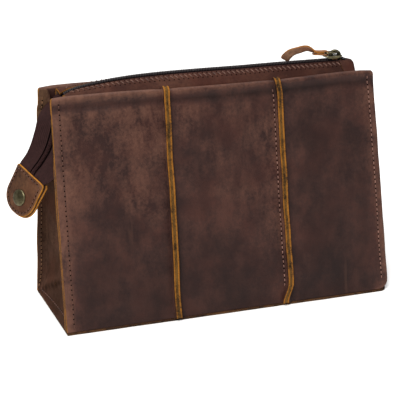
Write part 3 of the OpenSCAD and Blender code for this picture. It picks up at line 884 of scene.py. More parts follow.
def gusset_plane(end, z):
    """x of the flat gusset at the left (end -1) or right (end 1)."""
    if end < 0:
        return -GUSSET_X - FOOT_FLARE * max(0.0, 1 - z / 15) ** 1.25
    return HALF_W - TAPER * z / WALL_H - LIP


STUD_Z = 89


def crease_way(y, z):
    """Distance above the crease that crosses the gusset's foot."""
    return ((z - 25) + (y + 1) * 0.47) / 1.10


def gusset_waves(end, y, z):
    """Outward displacement: slack bulges low down, a crease that crosses the foot, and soft waves."""
    t = crease_way(y, z)
    crease = 2.4 * exp(-abs(t) / 8) - 1.2 * hump(t, 16, 10)
    low = 3.2 * hump(z, 13, 11) * (0.6 + 0.4 * ramp(y, -20, 35))
    slack = 1.3 * ripple(y, z, 101 + end, 42) + 0.4 * ripple(y, z, 103 + end, 15)
    calm = 1 - hump(hypot(z - STUD_Z, y), 0, 9)
    return ((crease + low) * ramp(z, 2, 9) + slack * ramp(z, 3, 25)) * calm


def gusset_section(end, side, z, columns=18, layer=0.0, lip=True):
    """One level of half a gusset, from the middle fold to its turned-out edge: (x, y) of the middle
    line and its outward direction. layer moves the line into the bag, for the lining."""
    h = (z - HINGE_Z) / cos(LEAN)
    over_hem = (2 * ROLL_R - LEATHER) * ramp(h, WALL_H - HEM - 5, WALL_H - HEM - 0.5)
    wall_in = LEATHER + 0.6 + GUSSET / 2 + layer + (over_hem if lip else 0.0)
    reach = HALF_D - wall_in / cos(LEAN) - (z - HINGE_Z) * tan(LEAN)
    turn = 2.2
    plane = gusset_plane(end, z) - end * (GUSSET / 2 + layer)
    points = []
    flat = reach - (turn if lip else 0)
    for k in range(columns + 1):
        y = flat * k / columns
        bell = 0.5 * (1 + cos(pi * max(0.0, (y / flat - 0.2) / 0.8)))
        ease = 1 - ramp(y, flat * 0.72, flat)
        out = gusset_waves(end, side * y, z) * (0.25 + 0.75 * ease)
        points.append((plane - end * fold_in(z) * bell + end * out, y))
    if lip:
        x0 = points[-1][0]
        for k in range(1, 5):
            t = pi / 2 * k / 4
            points.append((x0 + end * turn * (1 - cos(t)), flat + turn * sin(t)))
        shown = 0.9
        if side < 0:
            shown = (lerp(0.9, -1.2, ramp(z, 120, 160)) if end < 0
                 else lerp(1.1, 0.3, ramp(z, 150, 170)))
        tip = side_edge(end, max(0, h)) + end * (shown + 0.5 * ripple(z, 0, 111 + side + end, 22))
        x1 = points[-1][0]
        for k in range(1, 5):
            points.append((lerp(x1, tip, k / 4), reach + 0.15 * sin(pi * k / 4)))
    points = np.array([(x, side * y) for x, y in points])
    tangent = np.gradient(points, axis=0)
    normals = np.stack([tangent[:, 1], -tangent[:, 0]], 1)
    normals /= np.linalg.norm(normals, axis=1)[:, None]
    if normals[0][0] * end < 0:
        normals = -normals
    return points, normals


def gusset_levels(top):
    count = 46
    low = GUSSET_LOW + 0.3
    return [lerp(low, top, k / count) for k in range(count + 1)]


LIP_TOP = HINGE_Z + (WALL_H - 1.6) * cos(LEAN)


def two_faces(x, y, z, nx, ny, thickness):
    """The points on a sheet's two faces where its middle is at (x, y, z) and its normal is level."""
    dx, dy = nx * thickness / 2, ny * thickness / 2
    return (x + dx, y + dy, z), (x - dx, y - dy, z)


def ride_gusset(obj, side, slot, nodes=()):
    """Hides a gusset piece's CAD nodes and bakes its transform into its mesh."""
    settle(obj, slot, nodes)
    bend(obj, "base", "front_wall" if side < 0 else "back_wall", (0, 0, 0), (0, side * 20.5, 0))


def build_gusset_half(end, side, name, nodes):
    """Half a gusset with its turned-out edge, which runs on up over the wall's hem."""
    rows = []
    for z_body, z_lip in zip(gusset_levels(GUSSET_TOP + 1.0), gusset_levels(LIP_TOP)):
        body, lip = gusset_section(end, side, z_body), gusset_section(end, side, z_lip)
        row = []
        for i in range(len(body[0])):
            share = ramp(i, 16, 22)
            (x, y), (nx, ny) = lerp(body[0][i], lip[0][i], share), unit(lerp(body[1][i], lip[1][i], share))
            z = lerp(z_body, z_lip, share)
            near_edge = ramp(i, 12, len(body[0]) - 1)
            crease = crease_way(y, z) if end < 0 else 1000.0
            # The crease gets a painted shade line with a painted highlight just above it, and the foot is
            # darkened with painted shade; the turned-out edge is lighter where rubbed.
            crease_shading = 0.9 * hump(crease, 0, 1.6) - 0.35 * hump(crease, 5, 4)
            wear_and_shading = (0.06 + near_edge * (0.15 + 0.6 * ramp(z, 110, 150)) + 0.3 * ripple(y, z, 121, 30)
                    - 0.4 * (1 - ramp(z, 8, 60)) - crease_shading * (1 - near_edge))
            row.append((*two_faces(x, y, z, nx, ny, GUSSET), max(-1, min(1, wear_and_shading))))
        rows.append(row)
    obj = sheet_of(name, rows, [GUSSET_SKIN, FLESH, AMBER], top_kind=0)
    ride_gusset(obj, side, "gusset_leather", nodes)


def build_gusset_lining(end, side, name, nodes):
    rows = []
    for z in gusset_levels(GUSSET_TOP - 2)[2:]:
        section = gusset_section(end, side, z, layer=GUSSET / 2 + 0.6, lip=False)
        rows.append([two_faces(x, y, z, nx, ny, LINING) for (x, y), (nx, ny) in zip(*section)])
    obj = sheet_of(name, rows, [CLOTH] * 3)
    ride_gusset(obj, side, "lining", nodes)


def gusset_stitches(end, side, name):
    """A row of stitches along the turned-out edge, on the face that can be seen past the wall."""
    def on_lip(z):
        points, normals = gusset_section(end, side, z)
        (x, y), (nx, ny) = points[-3], normals[-3]
        normal = np.array([nx, ny, 0.0])
        return np.array([x, y, z]) + normal * GUSSET / 2, normal
    def on_foot(way):
        z = 8.5
        level = [gusset_section(end, side, z + dz)[0][:19] for dz in (-1, 0.0, 1)]
        below, x, above = [np.interp(way, np.abs(points[:, 1]), points[:, 0]) for points in level]
        slope = end * (above - below) / 2
        normal = unit([end, 0.0, -slope])
        return np.array([x, side * way, z]) + normal * GUSSET / 2, normal
    slot = "gusset_leather"
    rows = stitch_row(name, on_lip, 6, LIP_TOP - 5, STITCH_PITCH, 2.8, STITCH_R, slot, GUSSET_THREAD)
    rows += stitch_row(f"{name}_foot", on_foot, 1, 38, STITCH_PITCH, 2.8, 0.5, slot, DARK_THREAD)
    for piece in rows:
        ride_gusset(piece, side, slot)


# ---- Base -----------------------------------------------------------------------------------------

def base_half_depth(x):
    into = max(0.0, x - (HALF_W - CORNER_R))
    return HALF_D - (CORNER_R - sqrt(max(0.0, CORNER_R ** 2 - into ** 2)))


def build_base():
    columns, rows = 90, 24
    rounded = 6
    grid = []
    for i in range(columns + 1):
        x = lerp(-HALF_W, HALF_W, i / columns)
        if i > columns - rounded:
            x = HALF_W - CORNER_R + CORNER_R * sin(pi / 2 * (i - columns + rounded) / rounded)
        half = base_half_depth(min(x, HALF_W - 0.02))
        row = []
        for j in range(rows + 1):
            v = 2 * j / rows - 1
            v = copysign(1 - (1 - abs(v)) ** 1.3, v)
            frill = 0.35 * ripple(x, copysign(1000, v), 131, 14)
            y = v * (half + 0.35 + frill)
            lift = 0.25 * (1 + ripple(x, y, 133, 40)) * (1 - abs(v) ** 8)
            row.append(((x, y, lift), (x, y, LEATHER), 0.12))
        grid.append(row)
    panel = sheet_of("base_leather", grid, [BODY, GUSSET_SKIN, BASE_EDGE])
    settle(panel, "body_leather", ["base_panel"], "base")

    for name, node, material, slot, slack in (
            ("base_stiffener", "base_board", BOARD, "stiffener", 0.0),
            ("base_lining_cloth", "base_lining", CLOTH, "lining", 0.35)):
        low, high = box(node)
        grid = []
        for i in range(41):
            x = lerp(low.x, high.x, i / 40)
            ys = [lerp(low.y, high.y, j / 16) for j in range(17)]
            grid.append([((x, y, high.z + slack * (1 + ripple(x, y, 143, 22))), (x, y, low.z)) for y in ys])
        piece = settle(sheet_of(name, grid, [material] * 3), slot, [node], "base")


def build_wall_lining(side, word):
    """Lining cloth inside a wall, slightly slack, with its top under the hem."""
    rows = []
    inset = LIP + 2.5
    for i in range(45):
        h = lerp(3, WALL_H - HEM + 3, i / 44)
        row = []
        for j in range(61):
            x = lerp(side_edge(-1, h) + inset, side_edge(1, h) - inset, j / 60)
            slack = 0.5 * (1 + ripple(x, h, 151 + side, 30)) * ramp(h, 4, 20)
            slack *= 1 - ramp(h, WALL_H - HEM - 8, WALL_H - HEM)
            depth = LEATHER + 0.25 - min(0.0, wall_puff(side, x, h)) + slack
            row.append((wall_point(side, x, depth, h), wall_point(side, x, depth + LINING, h)))
        rows.append(row)
    obj = sheet_of(f"{word}_lining_cloth", rows, [CLOTH] * 3)
    settle(obj, "lining", [f"{word}_lining"], f"{word}_wall")


# ---- Zip ------------------------------------------------------------------------------------------

FACING = 1.4
FACING_EDGE = 4.8
FACING_IN = 2 * ROLL_R + 0.3
TAPE_Z = COIL_TOP - 2.5
FACING_TOP = COIL_TOP - 1.7
END_BLEND = ((-112, -17), (-129, 0.0))


def dip(x):
    if x > DIP_X:
        return 0.0
    share = (DIP_X - x) / (DIP_X - COIL_LEFT)
    return DIP_H * share ** DIP_POWER + END_DIP_H * share ** END_DIP_POWER


def zip_rise(x):
    """The zip line rises slightly towards its closed end, and isn't quite straight."""
    return (0.3 * ripple(x, 0, 161, 45) * (1 - ramp(x, 70, 90))
            - 1.5 * ramp(x, 112, 119))


def blend_end(obj, side, slot, nodes=()):
    """The zip's left end stays with the tail while the walls open; this only hides a zip piece's CAD nodes
    and bakes its transform into its mesh, without bending it there.
    """
    settle(obj, slot, nodes)
    word = "front" if side < 0 else "back"
    (x0, y0), (x1, y1) = END_BLEND
    bend(obj, f"{word}_wall", "base", (x0, -side * y0, 0), (x1, y1, 0))


def facing_section(x):
    """Middle line of a facing's section as (distance from the middle plane, z), from its foot inside
    the hem, over its bend, to its raw edge beside the coil."""
    foot_in, foot_z = facing_foot()
    head = (TOP_HALF_D - FACING_IN * cos(LEAN) - FACING / 2, WALL_TOP - 1.2)
    sink = dip(x) * 0.86
    edge = (FACING_EDGE + 0.25 * ripple(x, 0, 163, 11), FACING_TOP - FACING / 2 - sink + zip_rise(x))
    points = [(foot_in, foot_z), (lerp(foot_in, head[0], 0.5), lerp(foot_z, head[1], 0.5))]
    before = np.array([lerp(foot_in, head[0], 0.75), lerp(foot_z, head[1], 0.75)])
    corner = np.array(head)
    last = np.array(edge)
    after = lerp(corner, last, 0.28)
    for k in range(6):
        t = k / 5
        points.append(tuple((1 - t) ** 2 * before + 2 * t * (1 - t) * corner + t * t * after))
    for k in range(1, 9):
        t = k / 8
        swell = 0.45 * sin(pi * t) * (1 + 0.8 * ripple(x, t * 10, 167, 12))
        points.append(tuple(lerp(after, last, t) + np.array([0, swell])))
    return np.array(points)


def facing_foot():
    lip_top = WALL_H - HEM - 2
    up = lip_top + 4
    depth = HALF_D - FACING_IN * cos(LEAN) - up * sin(LEAN)
    return depth - FACING / 2, HINGE_Z + up * cos(LEAN)


def section_normals(points):
    tangent = np.gradient(points, axis=0)
    normals = np.stack([tangent[:, 1], -tangent[:, 0]], 1)
    return normals / np.linalg.norm(normals, axis=1)[:, None]


def facing_rows(right):
    count = 96
    return [lerp(ZIP_LEFT - 0.4, right, k / count) for k in range(count + 1)]


def on_facing(side, x, share):
    """Place and normal on a facing's upper face, share of the way from its bend to its raw edge."""
    points = facing_section(x)
    u = share * 8 + 7
    i = int(u)
    n = section_normals(points)[i]
    place = lerp(points[i], points[min(i + 1, len(points) - 1)], u - i) + n * FACING / 2
    return np.array([x, side * place[0], place[1]]), np.array([0, side * n[0], n[1]])


def build_facing(side, word):
    rows = []
    for x in facing_rows(ZIP_RIGHT):
        points = facing_section(x)
        rows.append([((x, side * (w + nw * FACING / 2), z + nz * FACING / 2),
                      (x, side * (w - nw * FACING / 2), z - nz * FACING / 2),
                      0.14 + 0.3 * ripple(x, w, 171 + side, 24) - 0.75 * ramp(x, -20, 85))
                     for (w, z), (nw, nz) in zip(points, section_normals(points))])
    leather_strip = sheet_of(f"{word}_facing_leather", rows, [FACING_SKIN, FLESH, AMBER])
    blend_end(leather_strip, side, "facing_leather", [f"{word}_facing"])

    threads, holes = [], []
    pitch, slant = 4.05, 2.5
    for x in np.arange(ZIP_LEFT + 5, ZIP_RIGHT - 5, pitch):
        x += 0.3 * ripple(x, 0, 173 + side, 6)
        a, normal = on_facing(side, x, 0.86)
        b, _ = on_facing(side, x + slant, 0.46)
        threads.append(stitch_tube(a, b, normal, 0.55, rise=0.7))
        # Dark plugs at both ends of each stitch paint the shade in the needle hole there.
        for share, shift in ((0.9, -0.25), (0.40, slant + 0.35)):
            p, n = on_facing(side, x + shift, share)
            path = [p - n * 0.4, p + n * 0.05, p + n * 0.12]
            holes.append(tube_data(path, [0.62, 0.6, 0.3], 8, up=(1, 0, 0)))
    blend_end(many_tubes(f"{word}_facing_stitches", threads, FACING_THREAD), side, "facing_leather")
    blend_end(many_tubes(f"{word}_facing_holes", holes, HOLE_SHADE), side, "facing_leather")


def build_tape(side, word):
    """The strip of tape between the facing and the coil."""
    section = [(FACING_EDGE + 4.5, -3.6), (FACING_EDGE + 1, -1.9), (FACING_EDGE - 0.6, -0.8),
               (3, 0), (1.6, 0), (0.4, 0)]
    rows = []
    for x in facing_rows(ZIP_RIGHT - 1):
        z = TAPE_Z + 0.25 - dip(x) + zip_rise(x)
        rows.append([((x, side * w, z + v + 0.22), (x, side * w, z + v - 0.22)) for w, v in section])
    blend_end(sheet_of(f"{word}_zip_tape", rows, [TAPE] * 3), side, "zip_tape", [f"{word}_tape"])


TOOTH_PITCH = 1.35


def tooth_path(side, half):
    """One turn of the coil in its own section: across and up, from its heel over its top to its head."""
    return [(side * half, -1.25), (side * (half + 0.08), -0.6), (side * (half - 0.35), -0.08),
            (side * half * 0.5, 0.0), (-side * 0.35, -0.05), (-side * 0.6, -0.55)]


def build_coil(side, word):
    tubes = []
    x = COIL_LEFT + 1.4
    offset = 0.0 if side < 0 else TOOTH_PITCH / 2
    while x < COIL_RIGHT - 1:
        z = COIL_TOP - 0.3 - dip(x) + zip_rise(x)
        path = [(x + offset + 0.25 * k / 5, w, z + v)
                for k, (w, v) in enumerate(tooth_path(side, COIL_HALF - 0.5))]
        tubes.append(tube_data(path, [0.36, 0.4, 0.4, 0.4, 0.44, 0.3], 6, up=(1, 0, 0)))
        x += TOOTH_PITCH
    blend_end(many_tubes(f"{word}_coil_turns", tubes, COIL), side, "zip_coil", [f"{word}_coil"])

    # The coil's core cord, near black and darker than the turns, so it also paints the shade between them.
    cord = []
    for x in facing_rows(COIL_RIGHT - 0.5):
        z = COIL_TOP - 1.35 - dip(x) + zip_rise(x)
        cord.append([(x, side * w, z + v) for w, v in (
            (0.55, -0.4), (2.3, -0.4), (2.45, 0.1), (1.9, 0.5), (0.8, 0.5))])
    blend_end(tube(f"{word}_coil_cord", cord, [GROOVE_SHADE]), side, "zip_coil")


def build_zip_ends(side, word):
    """The moulded stop and the leather patch past the closed slider."""
    low, high = box(f"{word}_zip_stop")
    centre = (low + high) / 2
    rings = []
    for k in range(7):
        t = k / 6
        swell = sin(pi * lerp(0.12, 0.88, t)) ** 0.5
        rings.append([(lerp(low.x, high.x, t), centre.y + (high.y - low.y) / 2 * swell * cos(a),
                       centre.z + (high.z - low.z) / 2 * swell * sin(a)) for a in around(12)])
    settle(tube(f"{word}_stop", rings, [COIL]), "zip_coil", [f"{word}_zip_stop"], f"{word}_wall")

    columns, count = 14, 10
    start, stop = SLIDER_HIGH.x - 4.4, ZIP_RIGHT + 0.9
    rows = []
    for i in range(count + 1):
        x = lerp(start, stop, i / count)
        w0 = lerp(FACING_EDGE + 1.3, 0.15, ramp(x, SLIDER_HIGH.x + 0.3, SLIDER_HIGH.x + 1.6))
        section = facing_section(min(x, ZIP_RIGHT))
        over = section + section_normals(section) * (FACING / 2 + 0.15)
        tuck = 1.3 * ramp(x, ZIP_RIGHT - 0.1, stop) ** 2
        row = []
        for j in range(columns + 1):
            w = lerp(w0, 15.9, j / columns)
            z = np.interp(-w, -over[:, 0], over[:, 1]) - tuck
            place = x + 4.6 * (1 - j / columns) * ramp(i, 0, count)
            row.append(((place, side * w, z + 0.95), (place, side * w, z - 0.05), -0.15))
        rows.append(row)
    patch = sheet_of(f"{word}_patch_leather", rows, [FACING_SKIN, FLESH, BASE_EDGE])
    settle(patch, "facing_leather", [f"{word}_end_patch"], f"{word}_wall")


# ---- Tail -----------------------------------------------------------------------------------------

TAIL_ROUTE = [(-124.6, 0, 177.6), (-127.4, 0, 175.6), (-129.5, 0, 171), (-131.5, 0, 161), (-134.2, 0, 149.5),
              (-138.4, 0, 138), (-144.2, -0.5, 128.8), (-150.9, -1, 120.9), (-153.3, -0.6, 115)]
TAB_POS = np.array([-151.8, -1, 119.1])
TAB_TURN = (Matrix.Rotation(radians(31), 3, "Z") @ Matrix.Rotation(radians(12), 3, "Y")
            @ Matrix.Rotation(radians(23.5), 3, "X"))
TAPE_HALF = 15.5
TAIL_T = 0.8
TAIL_COUNT = 49
COIL_STOP = 43
SLACK_WAY = np.array([0.30, -0.25, -0.92])


def tab_point(x, y, z):
    """A point of the tab: x across its thickness (outwards is negative), y across its width, z along it."""
    return TAB_POS + np.array(TAB_TURN @ Vector((x, y, z)))


TAB_ACROSS = unit(tab_point(0, -1, 0) - tab_point(0, 0, 0))
FACE_TURN = radians(53.5)
FACE_ACROSS = unit([sin(FACE_TURN), -cos(FACE_TURN), -0.22])
# Shares of the tail's length between which its width turns to face forwards, and then to the tab's way
FACE_TWIST = (0.16, 0.46)
TAB_TWIST = (0.55, 0.85)
# The front edge hangs slack round one step of the tail
SLACK_STEP, SLACK_SPREAD, SLACK_DEPTH = 37, 5.5, 4.5
tail_line = catmull([np.array(p) for p in TAIL_ROUTE], TAIL_COUNT)


def tail_frame(i):
    """Place, width direction (towards the front) and outward direction at a step of the tail."""
    d = unit(tail_line[min(i + 1, TAIL_COUNT - 1)] - tail_line[max(i - 1, 0)])
    t = i / (TAIL_COUNT - 1)
    w = lerp(np.array([0, -1.0, 0]), FACE_ACROSS, ramp(t, *FACE_TWIST))
    w = lerp(w, TAB_ACROSS, ramp(t, *TAB_TWIST))
    w = unit(w - d * (w @ d))
    return tail_line[i], w, np.cross(d, w)


def tail_piece(name, low, high, pair, start, end, nodes=(None, None)):
    """A stretch of the tail's tape with its coil and two dark strips of painted shadow along the coil's
    edges.
    """
    rows = []
    columns = 20
    for i in range(low, high + 1):
        p, w, n = tail_frame(i)
        t = i / (TAIL_COUNT - 1)
        narrow = 1 - 0.05 * sin(pi * t)
        row = []
        for j in range(columns + 1):
            u = 2 * j / columns - 1
            curl = (0.9 * u * u - 0.3) * sin(pi * t) + 0.35 * ripple(u * 20, t * 100, 181, 12)
            bead = 0.18 * hump(abs(u), 0.97, 0.05)
            slack = SLACK_DEPTH * hump(i, SLACK_STEP, SLACK_SPREAD) * max(0.0, u) ** 1.6
            base = p + w * u * TAPE_HALF * narrow + n * curl + SLACK_WAY * slack
            row.append((base + n * (TAIL_T * 0.75 + bead), base + n * (0.15 - bead)))
        rows.append(row)
    tape = sheet_of(name, rows, [TAPE] * 3)
    turns = []
    step = TOOTH_PITCH * 0.95
    lengths = np.concatenate([[0], np.cumsum(np.linalg.norm(np.diff(tail_line, axis=0), axis=1))])
    distance = lengths[low]
    k = 0
    while distance < lengths[min(high, COIL_STOP)]:
        u = np.interp(distance, lengths, np.arange(TAIL_COUNT))
        i = int(u)
        p0, w0, n0 = tail_frame(i)
        p1, w1, n1 = tail_frame(min(i + 1, TAIL_COUNT - 1))
        f = u - i
        p, w, n = lerp(p0, p1, f), unit(lerp(w0, w1, f)), unit(lerp(n0, n1, f))
        d = np.cross(w, n)
        side = -1 if k % 2 else 1
        path = [p + w * across * 0.5 + n * (TAIL_T + 0.15 + v * 0.4) + d * 0.2 * q
                for q, (across, v) in enumerate(tooth_path(side, COIL_HALF - 0.6))]
        turns.append(tube_data(path, [0.25, 0.3, 0.34, 0.34, 0.3, 0.2], 6, up=tuple(d)))
        distance += step / 2
        k += 1
    coil = many_tubes(name.replace("tape", "coil_turns"), turns, TAIL_COIL)
    pieces = [tape, coil]
    # Two dark strips along the coil's edges paint its shadow on the tape.
    for j, across in enumerate((-2.2, 2.2)):
        rings = []
        for i in range(low, min(high, COIL_STOP + 1) + 1):
            p, w, n = tail_frame(i)
            c = p + w * across + n * (TAIL_T * 0.75)
            rings.append([c + w * 0.55 * cos(a) + n * 0.22 * sin(a)
                          for a in around(6)])
        pieces.append(tube(name.replace("tape", f"groove{j + 1}"), rings, [GROOVE_SHADE]))
    for piece, node in zip(pieces, (*nodes, None, None)):
        settle(piece, "zip_tape", [node] if node else ())
        bend(piece, *pair, start, end)


def build_tail():
    middle = 27
    tail_piece("tail_upper_tape", 0, middle, ("base", "tail"), (-127.5, 0, 179.3), (-130.5, 0, 168),
               ("tail_tape", "tail_coil"))
    tail_piece("tail_lower_tape", middle, TAIL_COUNT - 1, ("tail", "tab"), (-146, -0.5, 126.5),
               (-152, -1.3, 118.7))


# ---- Snap tab -------------------------------------------------------------------------------------

TAB_W, TAB_L, TAB_T = 33, 36, 1.6
TAB_GAP = 0.6
SNAP_DROP = 22


def tab_outline(inset, corner=2.0, grow=0.0):
    """The tab's outline from its top left corner, round its lower end and back along its top edge."""
    def mirrored(points):
        return [(-y, z) for y, z in reversed(points)]

    half = TAB_W / 2 - inset + grow
    round_z = -TAB_L + TAB_W / 2
    side = [(-half, lerp(-corner - inset, round_z, k / 12)) for k in range(13)]
    end = []
    for k in range(1, 32):
        c, s = cos(pi * k / 32), sin(pi * k / 32)
        end.append((-half * copysign(abs(c) ** 0.9, c), round_z - half * s ** 0.9))
    turn = []
    for k in range(1, 5):
        t = pi / 2 * k / 5
        turn.append((half - corner * (1 - cos(t)), -inset - corner * (1 - sin(t))))
    top = [(lerp(half - corner, -half + corner, k / 14), -inset) for k in range(15)]
    return side + end + mirrored(side) + turn + top + mirrored(turn)


def build_tab_layer(name, node, depth, outward, grow, shift, seed, flare):
    """One leather layer of the tab. depth is its middle's place across the tab's thickness."""
    outline = []
    for y, z in tab_outline(0, grow=grow):
        wave_y, wave_z = [0.25 * ripple(y, z, seed + k, 7) for k in (0, 1)]
        outline.append((y + shift[0] + wave_y, z + shift[1] + wave_z))
    centre = np.array([0.0, -TAB_L * 0.52])
    scales = [0.0, 0.2, 0.4, 0.6, 0.75, 0.87, 0.95, 0.978, 1.0]
    half = TAB_T / 2
    layers = []
    for s in scales:
        layers.append((s, outward * (half + 0.30 * (1 - s ** 3)) if s < 1 else outward * half * 0.8))
    layers.append((1.012, 0.0))
    for s in reversed(scales):
        layers.append((s, -outward * half if s < 1 else -outward * half * 0.72))
    verts, wear_and_shading = [], []
    for s, offset in layers:
        for y, z in outline:
            q = centre + (np.array([y, z]) - centre) * max(s, 0.001)
            bend = 0.6 * ripple(q[0], q[1], seed + 5, 24)
            lift = flare * ramp(q[0] * -1, 4, 17) * ramp(q[1], -24, 0)
            pinch = 0.42 * s ** 6 * ramp(-q[1], 0, 6)
            verts.append(tab_point(depth + offset + bend * 0.4 + lift - outward * pinch, q[0], q[1]))
            edge = max(0, s - 0.7) / 0.3
            right = ramp(-q[0], 9, 15.5)
            rub_and_shading = 0.05 + (0.35 + 0.6 * right) * edge ** 2 + 0.25 * ripple(q[0], q[1], seed + 7, 9)
            wear_and_shading.append(min(1, rub_and_shading))
    n = len(outline)
    faces, kinds = [], []
    count = len(layers)
    for i in range(count - 1):
        a_s, b_s = layers[i][0], layers[i + 1][0]
        kind = 2 if min(a_s, b_s) >= 0.97 else (0 if i < count / 2 else 1)
        for j in range(n):
            a, b = i * n + j, i * n + (j + 1) % n
            faces.append((a, b, b + n, a + n))
            kinds.append(kind)
    obj = finish_mesh(name, verts, faces, [TAB_SKIN, TAB_SKIN, TAB_EDGE], kinds, wear_and_shading, angle=50)
    weld(obj, 0.04 * MM, 0.005 * MM)
    settle(obj, "tab_leather", [node], "tab")


def build_tab():
    middle = TAB_GAP + TAB_T / 2
    build_tab_layer("tab_leather_outer", "tab_outer", -middle, -1, 0.0, (0, 0), 191, 0.0)
    build_tab_layer("tab_leather_inner", "tab_inner", middle, 1, 0.5, (-0.6, -0.5), 197, 0.9)

    ring = tab_outline(2.6, corner=1.2)
    path = np.array([*ring, ring[0]])
    lengths = np.concatenate([[0], np.cumsum(np.linalg.norm(np.diff(path, axis=0), axis=1))])
    normal = tab_point(-1, 0, 0) - tab_point(0, 0, 0)

    def on_tab(distance):
        y, z = [np.interp(distance, lengths, path[:, c]) for c in (0, 1)]
        return tab_point(-(TAB_GAP + TAB_T + 0.15), y, z), normal
    rows = stitch_row("tab_stitches", on_tab, 0.6, lengths[-1], 3.6, 2.5, 0.42, "tab_leather", DARK_THREAD)
    for piece in rows:
        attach(piece, "tab")

    fill_rows = []
    for i in range(9):
        z = lerp(-0.4, -SNAP_DROP + 5, i / 8)
        fill_rows.append([tab_point(x, y, z) for x, y in (
            (-0.5, -TAPE_HALF), (-0.5, TAPE_HALF), (0.0, TAPE_HALF + 0.2), (0.5, TAPE_HALF),
            (0.5, -TAPE_HALF), (0.0, -TAPE_HALF - 0.2))])
    settle(tube("tab_tape_end", fill_rows, [TAPE]), "zip_tape", ["tab_filler"], "tab")

    snap_r = 6.6
    cap_face = TAB_GAP + TAB_T + 0.15
    cap_profile = [(1.4, -3.0), (1.5, 0.0), (snap_r - 0.5, 0.0), (snap_r - 0.1, 0.2),
                   (snap_r, 0.55), (snap_r - 0.12, 0.95), (snap_r - 0.5, 1.3),
                   (snap_r - 1.1, 1.5), (snap_r - 2.0, 1.62), (snap_r * 0.5, 1.74),
                   (snap_r * 0.25, 1.8), (0.0, 1.82)]
    cap_wear = [0, 0, 0.1, 0.15, 0.3, 0.45, 0.36, 0.2, 0.12, 0.08, 0.08, 0.1]
    cap = revolve("snap_cap_brass", cap_profile, lambda x, y, h: tab_point(-cap_face - h, x, y - SNAP_DROP),
                  CAP_BRASS, cap_wear)
    settle(cap, "antique_brass", ["snap_cap"], "tab")

    socket_profile = [(1.6, 0.0), (5.4, 0.0), (6.0, 0.3), (5.9, 0.7), (4.6, 0.9),
                      (4.2, 1.4), (4.15, 2.5), (3.8, 2.95), (3.1, 3.0),
                      (2.7, 2.7), (2.65, 0.9), (1.6, 0.75), (1.6, 0.0)]
    socket_wear = [0, 0.2, 0.8, 0.6, 0.2, 0.2, 0.5, 0.9, 0.8, 0.4, 0, 0, 0]
    socket = revolve("snap_socket_brass", socket_profile,
                     lambda x, y, h: tab_point(cap_face + h + 0.2, x, y - SNAP_DROP), BRASS, socket_wear)
    settle(socket, "antique_brass", ["snap_socket"], "tab")


def build_stud():
    low, high = box("snap_stud")
    z = (low.z + high.z) / 2
    flange = (high.z - low.z) / 2
    profile = [(0.0, 0.0), (flange, 0.0), (flange, 0.3), (flange * 0.85, 0.65), (2.6, 0.85),
               (2.2, 1.2), (2.15, 1.9), (2.55, 2.4), (2.6, 3.0),
               (2.3, 3.5), (1.6, 3.75), (0.9, 3.6), (0.0, 3.55)]
    seat = 8
    turn = atan((fold_in(z + seat) - fold_in(z - seat)) / (2 * seat))
    centre = np.array([-GUSSET_X + (fold_in(z + seat) + fold_in(z - seat)) / 2, 0.0, z])
    tilt = Matrix.Rotation(turn, 3, "Y")

    def on_seat(x, y, h):
        return centre + np.array(tilt @ Vector((-h, x, y)))
    stud_wear = [0, 0.4, 0.8, 0.3, 0.1, 0.1, 0.2, 0.7, 0.9, 0.8, 0.4, 0.2, 0.1]
    stud = revolve("snap_stud_brass", profile, on_seat, BRASS, stud_wear)
    settle(stud, "antique_brass", ["snap_stud"], "base")
    low, high = box("stud_washer")
    r = (high.z - low.z) / 2
    washer_profile = [(1.2, 0.0), (r, 0.0), (r, 0.5), (r - 0.5, 0.85), (1.2, 0.9), (1.2, 0.0)]
    behind = GUSSET + LINING + 0.6
    washer = revolve("stud_washer_brass", washer_profile, lambda x, y, h: on_seat(x, y, -h - behind), BRASS,
                     [0, 0.3, 0.8, 0.4, 0.2, 0])
    settle(washer, "antique_brass", ["stud_washer"], "base")


# ---- Slider and pull ------------------------------------------------------------------------------

PIVOT = Vector(JOINTS["pull_swing"]["pos_m"]) / MM
BAR = Vector(JOINTS["lace_swing"]["pos_m"]) / MM


def rounded_plate(x0, x1, half_wide, half_narrow, z0, z1, bevel):
    """Rings of a slider plate: it tapers to its closed end, and its corners and edges are rounded."""
    count = 14
    outline = []
    for k in range(count + 1):
        t = k / count
        x = lerp(x0, x1, t)
        half = lerp(half_wide, half_narrow, smooth(t))
        end = min(t, 1 - t) * (x1 - x0)
        if end < 2:
            half *= 0.72 + 0.28 * sqrt(max(0, 1 - (1 - end / 2) ** 2))
        outline.append((x, half))
    rings = []
    for x, half in outline:
        flat, low, high = half - bevel, z0 + bevel, z1 - bevel
        rings.append([(x, -flat, z0), (x, flat, z0), (x, half, low), (x, half, high),
                      (x, flat, z1), (x, -flat, z1), (x, -half, high), (x, -half, low)])
    return rings


